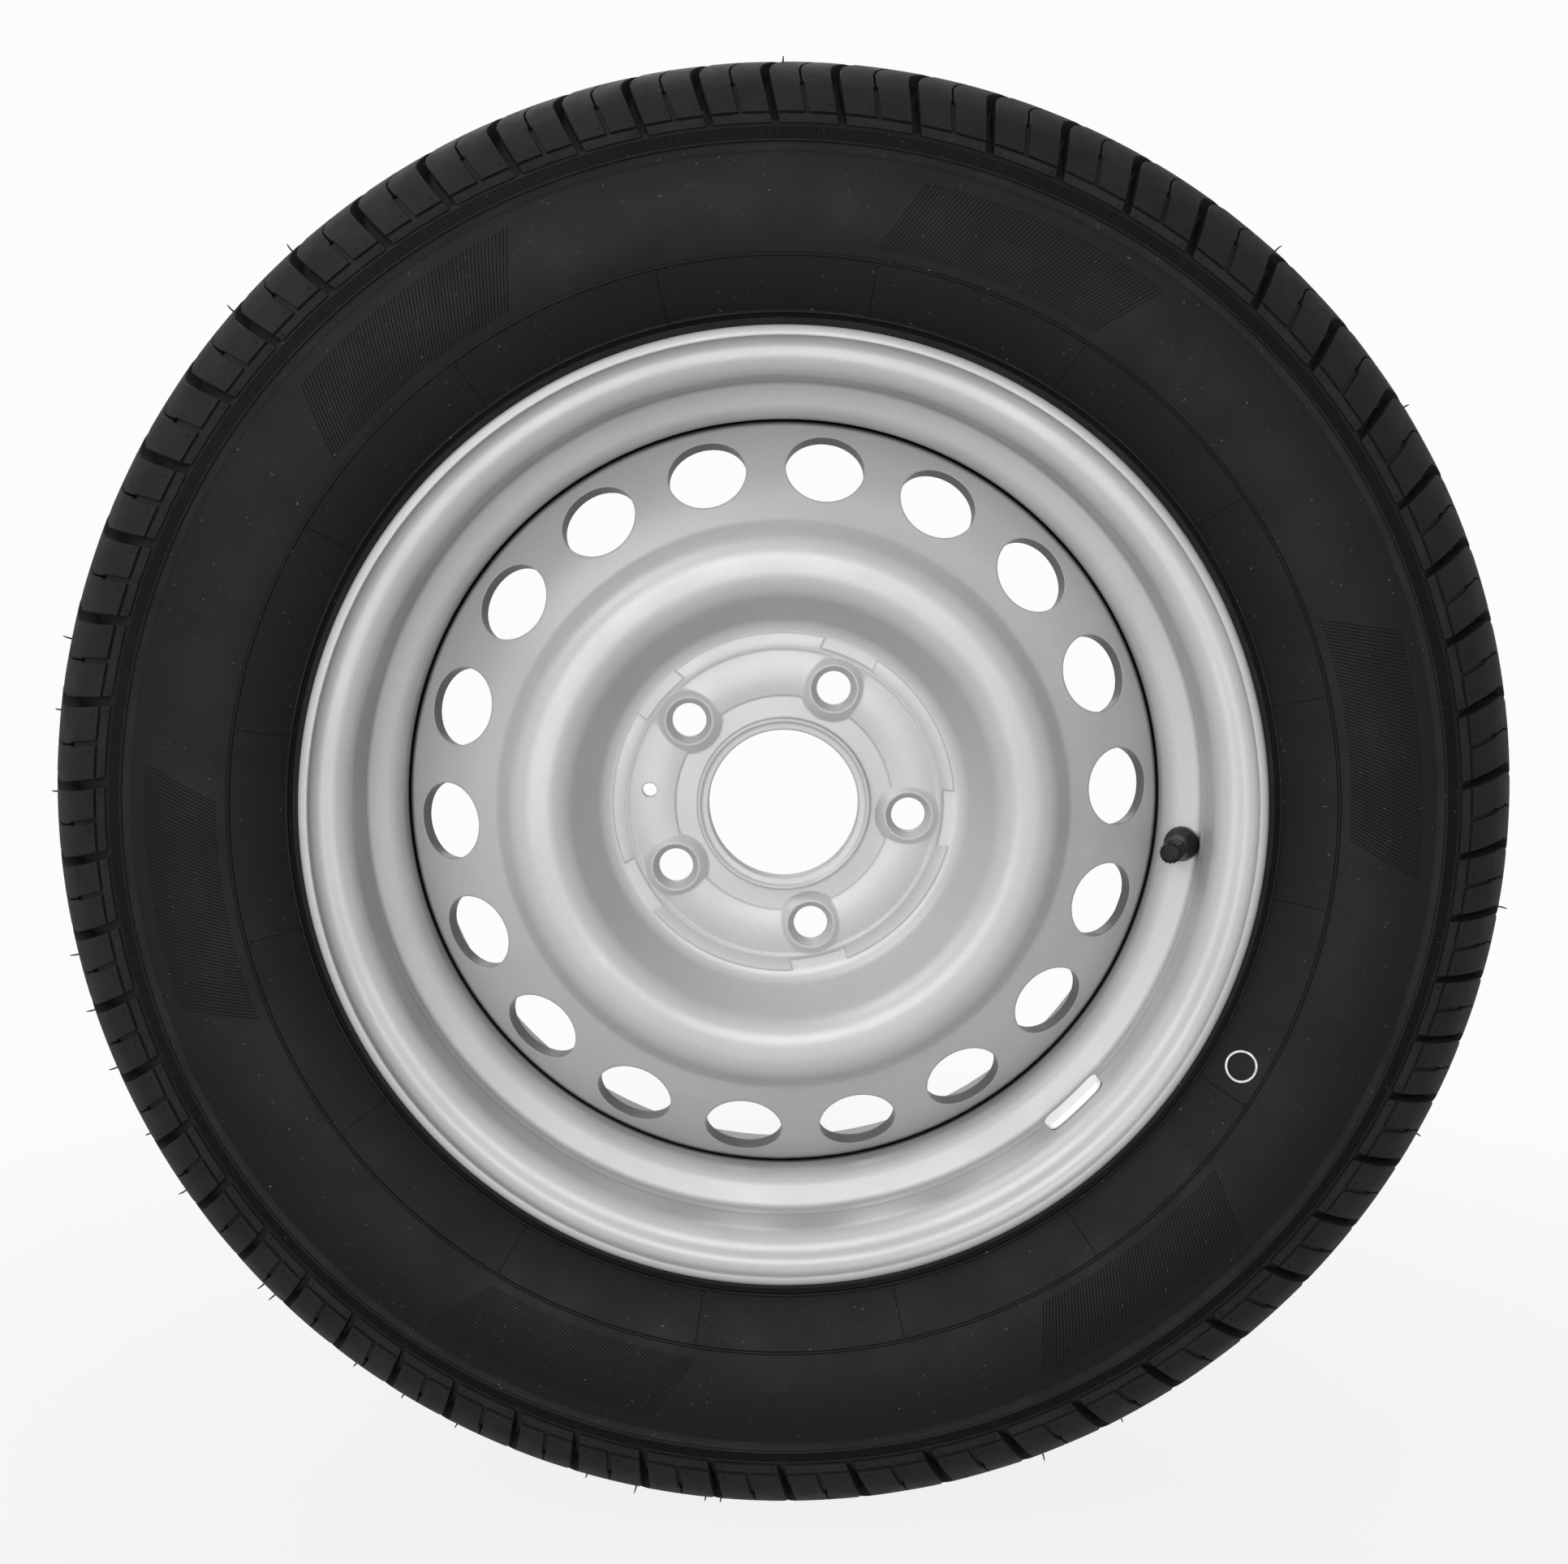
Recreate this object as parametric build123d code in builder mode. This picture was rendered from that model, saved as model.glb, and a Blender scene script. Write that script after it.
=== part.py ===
from build123d import *
import os
from math import asin, atan2, cos, degrees, radians, sin, tan

# A pressed-steel wheel with a tubeless tyre, a snap-in rubber valve and a stick-on balance weight.
# Millimetres. The wheel turns about Y, its outboard face looks along -Y, and +Z is up.
# The origin is the centre of the rim, midway between its two flanges.

# Rim: one strip of steel rolled to a J-flange, drop-centre contour
rim_width = 139.7
bead_radius = 190.1
flange_height = 17.3
flange_curve = 9.5
lip_curve = 3.6
lip_flat = 0.8
lip_drop = 4.4
rim_sheet = 2.8
heel_curve = 6.5
seat_width = 19.5
seat_taper = 5.0
hump_height = 1.3
hump_width = 6.5
hump_curve = 5.0
well_radius = 172.6
well_wall_angle = 18.0
wall_head_gap = 5.5
wall_head_curve = 5.0
well_front_curve = 7.0
well_floor = 42.0
rear_slope_angle = 33.0
rear_slope_curve = 12.0

# Disc: one pressed sheet with a raised crown, a vented cone and a skirt pressed into the rim's well
wheel_offset = 30.0
disc_sheet = 5.0
bore_radius = 33.3
bore_lip_height = 5.2
bore_lip_wall = 5.2
bore_lip_round = 0.7
bore_step_height = 4.2
bore_step_width = 2.9
bore_step_run = 1.0
bore_step_curve = 0.3
hub_pad_radius = 80.5
hub_pad_curve = 8.0
crown_height = 29.5
crown_inner_radius = 96.0
crown_outer_radius = 117.0
crown_curve = 14.0
crease_radius = 126.0
crease_drop = 13.0
crease_curve = 6.0
vent_circle_radius = 150.3
vent_drop = 13.1
cone_curve = 120.0
skirt_drop = 19.4
skirt_bend = 7.0
skirt_length = 24.0
skirt_fit = 0.10
vent_count = 18
vent_diameter = 34.6
vent_phase = 3.0

# Hub face: five bolt holes with conical seats on bosses, joined by a domed land, and an apron round it
bolt_circle = 112.0
bolt_count = 5
bolt_phase = 66.5
bolt_hole_radius = 7.6
bolt_seat_radius = 10.2
bolt_seat_angle = 60.0
boss_radius = 15.0
boss_top_radius = 10.8
boss_height = 3.0
land_inner_radius = 48.0
land_step = 0.6
land_step_run = 0.6
land_crest_radius = 60.0
land_height = 1.5
land_outer_radius = 68.4
land_recess_depth = 1.2
ridge_gap = 1.4
ridge_width = 1.4
ridge_height = 1.1
apron_width = 6.7
apron_height = 0.5
apron_channel = 24.8
apron_slope = 40.0
locating_hole_radius = 3.2
locating_hole_circle = 60.0
locating_hole_angle = 174.3

# Weld beads where the skirt's end meets the floor of the well
weld_leg = 4.2
weld_count = 6
weld_arc = 40.0
weld_gap = 0.05

# Tyre: one moulding with a hollow section that is open towards the rim
tyre_radius = 320.6
tread_half_width = 58.5
crown_drop = 3.8
shoulder_radius = 292.5
shoulder_half_width = 87.6
shoulder_curve = 44.0
shoulder_step = 2.6
belly_radius = 258.0
belly_half_width = 92.6
belly_curve = 76.7
tread_thickness = 16.5
sidewall_thickness = 7.6
bead_toe_width = 18.6
bead_gap = 0.20
bead_rise = 3.2
cavity_shoulder = 50.0
groove_width = 9.0
groove_depth = 7.6
groove_offsets = (12.5, 37.0)
rib_radius = 280.7
rib_width = 1.6
rib_height = 0.9
line_radius = 235.4
bead_line_radius = 213.0

# Shoulder slots, set out clockwise in runs of short, medium and long pitches that quieten the tread
short_pitch = 5.37
medium_pitch = 6.10
long_pitch = 6.90
pitch_runs = (
    (5, medium_pitch), (4, long_pitch), (5, medium_pitch), (4, short_pitch), (3, medium_pitch),
    (6, long_pitch), (4, medium_pitch), (1, short_pitch), (1, medium_pitch), (5, short_pitch),
    (6, medium_pitch), (5, long_pitch), (5, medium_pitch), (5, short_pitch),
)
first_slot_angle = 4.2
slot_width = 4.2
slot_depth = 6.5
slot_lean = 12.0
slot_end_radius = 289.0

# Snap-in valve, square to the well's outboard wall
valve_angle = -5.7
valve_wall_share = 0.46
valve_hole_radius = 5.75
valve_hole_fit = 0.10
valve_head_radius = 8.0
valve_head_tip_radius = 6.2
valve_head_length = 9.0
valve_head_land = 3.4
valve_bulge_radius = 7.7
valve_bulge_height = 3.6
valve_bulge_curve = 3.0
valve_neck_radius = 5.1
valve_neck_height = 13.0
valve_neck_curve = 8.0
valve_sleeve_radius = 4.75
valve_sleeve_height = 22.0
rubber_gap = 0.05
stem_radius = 3.85
stem_shank_radius = 3.2
stem_shank_top = 19.0
stem_height = 33.0
stem_bore_radius = 2.2
stem_core_radius = 2.65
stem_foot = 1.2
stem_tip_chamfer = 0.5

# Valve core: plug, barrel, gaskets, sprung pin and plunger
core_fit = 0.06
core_joint_gap = 0.04
core_seat_base = 23.0
core_seat_height = 2.0
core_plug_base = 28.4
core_plug_top = 31.9
core_plug_slot = 0.9
core_plug_slot_depth = 1.6
core_barrel_radius = 1.8
core_barrel_bore = 1.25
core_barrel_base = 16.0
core_barrel_floor = 1.0
core_pin_radius = 0.5
core_pin_top = 32.5
core_pin_hole_fit = 0.08
spring_wire = 0.28
spring_turns = 7
spring_radius = 0.86
spring_seat_base = 25.0
spring_seat_height = 0.8
plunger_radius = 1.7
plunger_cup_height = 2.2
plunger_gasket_height = 0.6
plunger_gasket_radius = 1.5

# Dust cap screwed over the stem
cap_radius = 4.6
cap_skirt_gap = 0.6
cap_thread_fit = 0.08
cap_roof = 2.4
cap_top_round = 1.3
cap_seal_height = 0.9
cap_seal_inner_radius = 1.5
cap_seal_gap = 0.05
cap_taper = 0.35

# Stick-on weight and its foam tape, on the inside of the outboard bead seat
weight_angle = -45.5
weight_length = 31.0
weight_width = 10.8
weight_thickness = 2.6
weight_corner = 4.5
weight_setback = 12.2
tape_thickness = 0.8
tape_margin = 0.6
tape_gap = 0.05

# Levels and radii that follow from the sizes above
half_width = rim_width / 2
flange_radius = bead_radius + flange_height
lip_y = half_width + flange_curve + lip_curve + lip_flat
seat_end_radius = bead_radius - seat_width * tan(radians(seat_taper))
seat_end_y = half_width - seat_width
wall_head_y = seat_end_y - hump_width - wall_head_gap
wall_head_radius = seat_end_radius - hump_height / 2
wall_rise = wall_head_radius - well_radius
wall_foot_y = wall_head_y - wall_rise * tan(radians(well_wall_angle))
rear_floor_y = well_floor - wall_foot_y
rear_head_y = rear_floor_y + wall_rise / tan(radians(rear_slope_angle))
well_inner_radius = well_radius - rim_sheet
skirt_radius = well_inner_radius - skirt_fit
hub_front = wheel_offset + disc_sheet
hub_middle = wheel_offset + disc_sheet / 2
ridge_radius = land_outer_radius + ridge_gap
apron_outer_radius = ridge_radius + apron_width
crown_front = hub_front + crown_height
crease_front = crown_front - crease_drop
vent_front = crease_front - vent_drop
skirt_front = vent_front - skirt_drop
skirt_end_y = skirt_length - skirt_front

os.makedirs("parts", exist_ok=True)


def polar(radius, y, angle):
    """Point at a radius from the wheel's axis, at an angle seen from the outboard side."""
    return (radius * cos(radians(angle)), y, radius * sin(radians(angle)))


def facing_plane(radius, y, angle, tilt=0.0):
    """Plane on the wheel whose normal looks outboard, tilted away from the axis by tilt degrees."""
    lean = sin(radians(tilt))
    normal = polar(lean, -cos(radians(tilt)), angle)
    across = (-sin(radians(angle)), 0, cos(radians(angle)))
    return Plane(origin=polar(radius, y, angle), x_dir=across, z_dir=normal)


def rim_contour():
    """Tyre side of the rim, from the outboard lip to the inboard one."""
    end_flange = [
        ((flange_radius - lip_drop, lip_y), None),
        ((flange_radius, lip_y), lip_curve),
        ((flange_radius, half_width), flange_curve),
        ((bead_radius, half_width), heel_curve),
        ((seat_end_radius, seat_end_y), hump_curve),
        ((seat_end_radius + hump_height, seat_end_y - hump_width / 2), hump_curve),
        ((seat_end_radius, seat_end_y - hump_width), hump_curve),
    ]
    outboard = [((r, -y), curve) for (r, y), curve in end_flange]
    well = [
        ((wall_head_radius, -wall_head_y), wall_head_curve),
        ((well_radius, -wall_foot_y), well_front_curve),
        ((well_radius, rear_floor_y), rear_slope_curve),
        ((wall_head_radius, rear_head_y), rear_slope_curve),
    ]
    corners = outboard + well + end_flange[::-1]
    points = [point for point, _ in corners]
    curves = [curve for _, curve in corners if curve is not None]
    return FilletPolyline(*points, radius=curves)


# Rim, with the valve hole square to the outboard wall of the well
valve_wall_radius = well_radius + valve_wall_share * wall_rise
valve_wall_y = wall_foot_y + valve_wall_share * (wall_head_y - wall_foot_y)
valve_seat_radius = valve_wall_radius - rim_sheet * sin(radians(well_wall_angle))
valve_seat_y = -valve_wall_y - rim_sheet * cos(radians(well_wall_angle))
valve_plane = facing_plane(valve_seat_radius, valve_seat_y, valve_angle, -well_wall_angle)

with BuildSketch(Plane.XY) as rim_section:
    with BuildLine():
        rim_contour()
        offset(amount=rim_sheet, side=Side.LEFT)
    make_face()

with BuildPart() as rim:
    revolve(rim_section.sketch, axis=Axis.Y)
    with BuildSketch(valve_plane):
        Circle(valve_hole_radius)
    extrude(amount=2 * rim_sheet, both=True, mode=Mode.SUBTRACT)
rim.part.label = "rim"
export_step(rim.part, "parts/rim.step")

# Disc: pressed sheet with its lip and land, then the apron, the bosses and the holes
face_plane = Plane(origin=(0, -hub_front, 0), x_dir=(1, 0, 0), z_dir=(0, -1, 0))
back_plane = Plane(origin=(0, -wheel_offset, 0), x_dir=(1, 0, 0), z_dir=(0, -1, 0))
cone_tilt = (
    degrees(atan2(vent_drop, vent_circle_radius - crease_radius))
    + degrees(atan2(skirt_drop, skirt_radius - vent_circle_radius))
) / 2
vent_angles = [vent_phase + 360 / vent_count * k for k in range(vent_count)]
vent_planes = [facing_plane(vent_circle_radius, -vent_front, angle, cone_tilt) for angle in vent_angles]


def channelled_ring(plane, inner, outer):
    """Ring between two radii, cut through by a straight channel at each bolt."""
    with BuildSketch(plane) as ring:
        Circle(outer)
        Circle(inner, mode=Mode.SUBTRACT)
        with PolarLocations(outer / 2, bolt_count, start_angle=bolt_phase):
            Rectangle(2 * outer, apron_channel, mode=Mode.SUBTRACT)
    return ring.sketch


with BuildPart() as wheel_disc:
    with BuildSketch(Plane.XY):
        with BuildLine():
            FilletPolyline(
                (bore_radius, -hub_front),
                (hub_pad_radius, -hub_front),
                (crown_inner_radius, -crown_front),
                (crown_outer_radius, -crown_front),
                (crease_radius, -crease_front),
                (vent_circle_radius, -vent_front),
                (skirt_radius, -skirt_front),
                (skirt_radius, skirt_end_y),
                radius=[hub_pad_curve, crown_curve, crown_curve, crease_curve, cone_curve, skirt_bend],
            )
            offset(amount=disc_sheet, side=Side.LEFT)
        make_face()
        with BuildLine():
            lip = FilletPolyline(
                (bore_radius, -wheel_offset),
                (bore_radius, -hub_front - bore_step_height),
                (bore_radius + bore_step_width, -hub_front - bore_step_height),
                (bore_radius + bore_step_width + bore_step_run, -hub_front - bore_lip_height),
                (bore_radius + bore_lip_wall, -hub_front - bore_lip_height),
                (bore_radius + bore_lip_wall, -wheel_offset),
                radius=[bore_lip_round, bore_step_curve, bore_step_curve, bore_lip_round],
            )
            Line(lip @ 1, lip @ 0)
        make_face()
        with BuildLine():
            land_root = Polyline(
                (ridge_radius + ridge_width, -hub_front - apron_height),
                (ridge_radius + ridge_width, -hub_middle),
                (land_inner_radius, -hub_middle),
                (land_inner_radius, -hub_front),
                (land_inner_radius + land_step_run, -hub_front - land_step),
            )
            land_dome = ThreePointArc(
                land_root @ 1,
                (land_crest_radius, -hub_front - land_height),
                (land_outer_radius, -hub_front - apron_height),
            )
            Polyline(land_dome @ 1, (ridge_radius, -hub_front - ridge_height), land_root @ 0)
        make_face()
    revolve(axis=Axis.Y)
    apron = channelled_ring(face_plane, ridge_radius, apron_outer_radius)
    extrude(apron, amount=apron_height, taper=apron_slope)
    land_backs = channelled_ring(back_plane, land_inner_radius, land_outer_radius)
    extrude(land_backs, amount=land_recess_depth, taper=apron_slope, mode=Mode.SUBTRACT)
    with Locations(face_plane):
        with PolarLocations(bolt_circle / 2, bolt_count, start_angle=bolt_phase):
            Cone(boss_radius, boss_top_radius, boss_height, align=(Align.CENTER, Align.CENTER, Align.MIN))
    with Locations(face_plane.offset(boss_height)):
        with PolarLocations(bolt_circle / 2, bolt_count, start_angle=bolt_phase):
            CounterSinkHole(bolt_hole_radius, bolt_seat_radius, counter_sink_angle=bolt_seat_angle)
    with BuildSketch(back_plane):
        with PolarLocations(locating_hole_circle, 1, start_angle=locating_hole_angle):
            Circle(locating_hole_radius)
    extrude(amount=disc_sheet + boss_height, mode=Mode.SUBTRACT)
    with BuildSketch(*vent_planes):
        Circle(vent_diameter / 2)
    extrude(amount=2 * disc_sheet, both=True, mode=Mode.SUBTRACT)
wheel_disc.part.label = "wheel_disc"
export_step(wheel_disc.part, "parts/wheel_disc.step")

# Weld beads: fillets in the corner between the skirt's end and the well
with BuildPart() as disc_welds:
    for k in range(weld_count):
        with BuildSketch(Plane.XY.rotated((0, 360 / weld_count * k, 0))):
            with BuildLine():
                Polyline(
                    (well_inner_radius - weld_gap, skirt_end_y + weld_gap),
                    (well_inner_radius - weld_gap, skirt_end_y + weld_leg),
                    (well_inner_radius - weld_leg, skirt_end_y + weld_gap),
                    close=True,
                )
            make_face()
        revolve(axis=Axis.Y, revolution_arc=weld_arc)
disc_welds.part.label = "disc_welds"
export_step(disc_welds.part, "parts/disc_welds.step")

# Tyre section: half of it is drawn, mirrored and cut back from the rim's contour
crown_curve_radius = (tread_half_width**2 + crown_drop**2) / (2 * crown_drop)
crown_centre = (tyre_radius - crown_curve_radius, 0)
crown_edge_radius = tyre_radius - crown_drop
crown_angle = degrees(asin(tread_half_width / crown_curve_radius))
belly_centre_y = belly_half_width - belly_curve
cavity_crown_curve = crown_curve_radius - tread_thickness
cavity_crown_angle = degrees(asin(cavity_shoulder / cavity_crown_curve))
cavity_belly_curve = belly_curve - sidewall_thickness
sidewall_top_radius = shoulder_radius - shoulder_step
sidewall_foot_radius = flange_radius + bead_rise
toe_y = half_width - bead_toe_width


def belly_y(radius, curve):
    """Half width of the sidewall's arc at a radius from the wheel's axis."""
    return belly_centre_y + (curve**2 - (radius - belly_radius) ** 2) ** 0.5


with BuildSketch() as rim_envelope:
    with BuildLine():
        contour = rim_contour()
        Polyline(contour @ 1, (well_inner_radius, lip_y), (well_inner_radius, -lip_y), contour @ 0)
    make_face()
    offset(amount=bead_gap)

slot_angles = []
slot_turn = first_slot_angle
pitch_scale = 360 / sum(count * pitch for count, pitch in pitch_runs)
for count, pitch in pitch_runs:
    for _ in range(count):
        slot_angles.append(90 - slot_turn)
        slot_turn += pitch * pitch_scale


def slot_plane(angle, side):
    """Plane along a shoulder slot: x leans from the radius, y runs along the wheel's axis."""
    radial = Vector(*polar(1, 0, angle))
    around = Vector(-sin(radians(angle)), 0, cos(radians(angle)))
    slot_mid = (crown_edge_radius + slot_end_radius) / 2
    along = radial * cos(radians(slot_lean)) - around * (side * sin(radians(slot_lean)))
    origin = radial * slot_mid - along * slot_mid
    return Plane(origin=origin, x_dir=along, z_dir=along.cross(Vector(0, 1, 0)))


with BuildPart() as tyre:
    with BuildSketch(Plane.XY):
        with BuildLine():
            tread = CenterArc(crown_centre, crown_curve_radius, 0, crown_angle)
            shoulder = RadiusArc(tread @ 1, (shoulder_radius, shoulder_half_width), -shoulder_curve)
            step = Line(shoulder @ 1, (sidewall_top_radius, belly_y(sidewall_top_radius, belly_curve)))
            foot = (sidewall_foot_radius, belly_y(sidewall_foot_radius, belly_curve))
            sidewall = ThreePointArc(step @ 1, (belly_radius, belly_half_width), foot)
            bead = Polyline(
                foot,
                (well_radius, half_width),
                (well_radius, toe_y),
                (bead_radius + flange_height / 2, toe_y),
            )
            cavity_foot_radius = 2 * belly_radius - sidewall_top_radius + bead_rise
            cavity_foot = (cavity_foot_radius, belly_y(cavity_foot_radius, cavity_belly_curve))
            Line(bead @ 1, cavity_foot)
            cavity_head_radius = sidewall_top_radius - sidewall_thickness
            cavity_head = (cavity_head_radius, belly_y(cavity_head_radius, cavity_belly_curve))
            ThreePointArc(cavity_foot, (belly_radius, belly_half_width - sidewall_thickness), cavity_head)
            cavity_crown = CenterArc(crown_centre, cavity_crown_curve, 0, cavity_crown_angle)
            SagittaArc(cavity_head, cavity_crown @ 1, -sidewall_thickness / 2)
            Line(cavity_crown @ 0, tread @ 0)
        make_face()
        for radius in (rib_radius, line_radius, bead_line_radius):
            with Locations((radius, belly_y(radius, belly_curve))):
                Rectangle(rib_width, 2 * rib_height)
        mirror(about=Plane.XZ)
        with Locations(*[(tyre_radius, side * y) for y in groove_offsets for side in (-1, 1)]):
            Rectangle(2 * groove_depth, groove_width, mode=Mode.SUBTRACT)
        add(rim_envelope.sketch, mode=Mode.SUBTRACT)
    revolve(axis=Axis.Y)
    for side in (-1, 1):
        with BuildSketch(*[slot_plane(angle, side) for angle in slot_angles]):
            with BuildLine():
                Polyline(
                    (tyre_radius + slot_depth, side * groove_offsets[1]),
                    (crown_edge_radius - slot_depth, side * groove_offsets[1]),
                    (crown_edge_radius - slot_depth, side * tread_half_width),
                    (slot_end_radius, side * (shoulder_half_width - slot_depth / 2)),
                    (slot_end_radius, side * (shoulder_half_width + slot_depth)),
                    (tyre_radius + slot_depth, side * (shoulder_half_width + slot_depth)),
                    close=True,
                )
            make_face()
        extrude(amount=slot_width / 2, both=True, mode=Mode.SUBTRACT)
tyre.part.label = "tyre"
export_step(tyre.part, "parts/tyre.step")

# Valve: every piece is turned about one axis, with heights measured from the rim's outboard face
valve_axis = Axis(valve_plane.origin, valve_plane.z_dir)
valve_section = Plane(
    origin=valve_plane.origin,
    x_dir=valve_plane.x_dir,
    z_dir=valve_plane.x_dir.cross(valve_plane.z_dir),
)
valve_groove_radius = valve_hole_radius - valve_hole_fit
head_end = -rim_sheet - valve_head_length

# The rim's wall with a skin around it, which the rubber on both sides of the hole is pressed against
with BuildPart() as valve_wall:
    with BuildSketch(Plane.XY.rotated((0, -valve_angle - valve_head_radius / 2, 0))):
        add(rim_section.sketch)
        offset(amount=rubber_gap)
    revolve(axis=Axis.Y, revolution_arc=valve_head_radius)
    with BuildSketch(valve_plane):
        Circle(valve_groove_radius)
    extrude(amount=2 * rim_sheet, both=True, mode=Mode.SUBTRACT)

# Rubber body: a head inside the rim, a bulge outside it and a sleeve over the stem
with BuildPart() as valve_body:
    with BuildSketch(valve_section):
        with BuildLine():
            bulge = FilletPolyline(
                (valve_bulge_radius, -rim_sheet / 2),
                (valve_bulge_radius, valve_bulge_height),
                (valve_neck_radius, valve_neck_height),
                (valve_sleeve_radius, valve_sleeve_height),
                radius=[valve_bulge_curve, valve_neck_curve],
            )
            Polyline(
                bulge @ 1,
                (stem_radius + rubber_gap, valve_sleeve_height),
                (stem_radius + rubber_gap, stem_shank_top - rubber_gap),
                (stem_shank_radius + rubber_gap, stem_shank_top - rubber_gap),
                (stem_shank_radius + rubber_gap, stem_foot - rubber_gap),
                (stem_bore_radius, stem_foot - rubber_gap),
                (stem_bore_radius, head_end),
                (valve_head_tip_radius, head_end),
                (valve_head_radius, -rim_sheet - valve_head_land),
                (valve_head_radius, -rim_sheet / 2),
                bulge @ 0,
            )
        make_face()
    revolve(axis=valve_axis)
    add(valve_wall.part, mode=Mode.SUBTRACT)
valve_body.part.label = "valve_body"
export_step(valve_body.part, "parts/valve_body.step")

# Brass stem, bored for the core, with a conical seat for the core's barrel gasket
core_seat_top = core_seat_base + core_seat_height
with BuildPart() as valve_stem:
    with BuildSketch(valve_section):
        with BuildLine():
            Polyline(
                (stem_bore_radius, stem_foot),
                (stem_shank_radius, stem_foot),
                (stem_shank_radius, stem_shank_top),
                (stem_radius, stem_shank_top),
                (stem_radius, stem_height - stem_tip_chamfer),
                (stem_radius - stem_tip_chamfer, stem_height),
                (stem_core_radius, stem_height),
                (stem_core_radius, core_seat_top),
                (stem_bore_radius, core_seat_base),
                close=True,
            )
        make_face()
    revolve(axis=valve_axis)
valve_stem.part.label = "valve_stem"
export_step(valve_stem.part, "parts/valve_stem.step")

# Core barrel with a floor that guides the pin
core_pin_hole = core_pin_radius + core_pin_hole_fit
core_barrel_top = core_plug_base - core_joint_gap
with BuildPart() as core_barrel:
    with BuildSketch(valve_section):
        with BuildLine():
            Polyline(
                (core_pin_hole, core_barrel_base),
                (core_barrel_radius, core_barrel_base),
                (core_barrel_radius, core_barrel_top),
                (core_barrel_bore, core_barrel_top),
                (core_barrel_bore, core_barrel_base + core_barrel_floor),
                (core_pin_hole, core_barrel_base + core_barrel_floor),
                close=True,
            )
        make_face()
    revolve(axis=valve_axis)
core_barrel.part.label = "core_barrel"
export_step(core_barrel.part, "parts/core_barrel.step")

# Barrel gasket: a conical ring on the barrel that seals in the stem's seat
with BuildPart() as core_barrel_gasket:
    with BuildSketch(valve_section):
        with BuildLine():
            Polyline(
                (core_barrel_radius + core_joint_gap, core_seat_base),
                (stem_bore_radius - core_fit, core_seat_base),
                (stem_core_radius - core_fit, core_seat_top),
                (core_barrel_radius + core_joint_gap, core_seat_top),
                close=True,
            )
        make_face()
    revolve(axis=valve_axis)
core_barrel_gasket.part.label = "core_barrel_gasket"
export_step(core_barrel_gasket.part, "parts/core_barrel_gasket.step")

# Core plug with a key slot across its top
with BuildPart() as core_plug:
    with BuildSketch(valve_plane.offset(core_plug_base)):
        Circle(stem_core_radius - core_fit)
        Circle(core_pin_hole, mode=Mode.SUBTRACT)
    extrude(amount=core_plug_top - core_plug_base)
    with BuildSketch(valve_plane.offset(core_plug_top)):
        Rectangle(2 * stem_core_radius, core_plug_slot + 2 * core_pin_hole)
        Rectangle(core_plug_slot + 2 * core_pin_hole, 2 * stem_core_radius, mode=Mode.SUBTRACT)
    extrude(amount=-core_plug_slot_depth, mode=Mode.SUBTRACT)
core_plug.part.label = "core_plug"
export_step(core_plug.part, "parts/core_plug.step")

# Core pin, with its collar and plunger crimped on
plunger_top = core_barrel_base - core_joint_gap
plunger_seat = plunger_top - plunger_gasket_height
plunger_base = plunger_seat - plunger_cup_height
with BuildPart() as core_pin:
    with BuildSketch(valve_plane.offset(plunger_base)):
        Circle(core_pin_radius)
    extrude(amount=core_pin_top - plunger_base)
    chamfer(core_pin.edges().filter_by(GeomType.CIRCLE), core_pin_radius / 3)
core_pin.part.label = "core_pin"
export_step(core_pin.part, "parts/core_pin.step")


def pin_ring(base, top, radius):
    """Ring on the pin between two heights along the valve."""
    with BuildPart() as ring:
        with BuildSketch(valve_plane.offset(base)):
            Circle(radius)
            Circle(core_pin_radius + core_joint_gap, mode=Mode.SUBTRACT)
        extrude(amount=top - base)
    return ring.part


spring_seat_top = spring_seat_base + spring_seat_height
core_spring_seat = pin_ring(spring_seat_base, spring_seat_top, core_barrel_bore - core_fit)
core_spring_seat.label = "core_spring_seat"
export_step(core_spring_seat, "parts/core_spring_seat.step")
core_plunger_cup = pin_ring(plunger_base, plunger_seat - core_joint_gap, plunger_radius)
core_plunger_cup.label = "core_plunger_cup"
export_step(core_plunger_cup, "parts/core_plunger_cup.step")
core_plunger_gasket = pin_ring(plunger_seat, plunger_top, plunger_gasket_radius)
core_plunger_gasket.label = "core_plunger_gasket"
export_step(core_plunger_gasket, "parts/core_plunger_gasket.step")

# Core spring, from the barrel's floor to the collar on the pin
spring_foot = core_barrel_base + core_barrel_floor + core_joint_gap + spring_wire / 2
spring_height = spring_seat_base - core_joint_gap - spring_wire / 2 - spring_foot
with BuildPart() as core_spring:
    with BuildLine() as coil:
        Helix(
            pitch=spring_height / spring_turns,
            height=spring_height,
            radius=spring_radius,
            center=valve_plane.offset(spring_foot).origin,
            direction=valve_plane.z_dir,
        )
    with BuildSketch(Plane(origin=coil.line @ 0, z_dir=coil.line % 0)):
        Circle(spring_wire / 2)
    sweep()
core_spring.part.label = "core_spring"
export_step(core_spring.part, "parts/core_spring.step")

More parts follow.
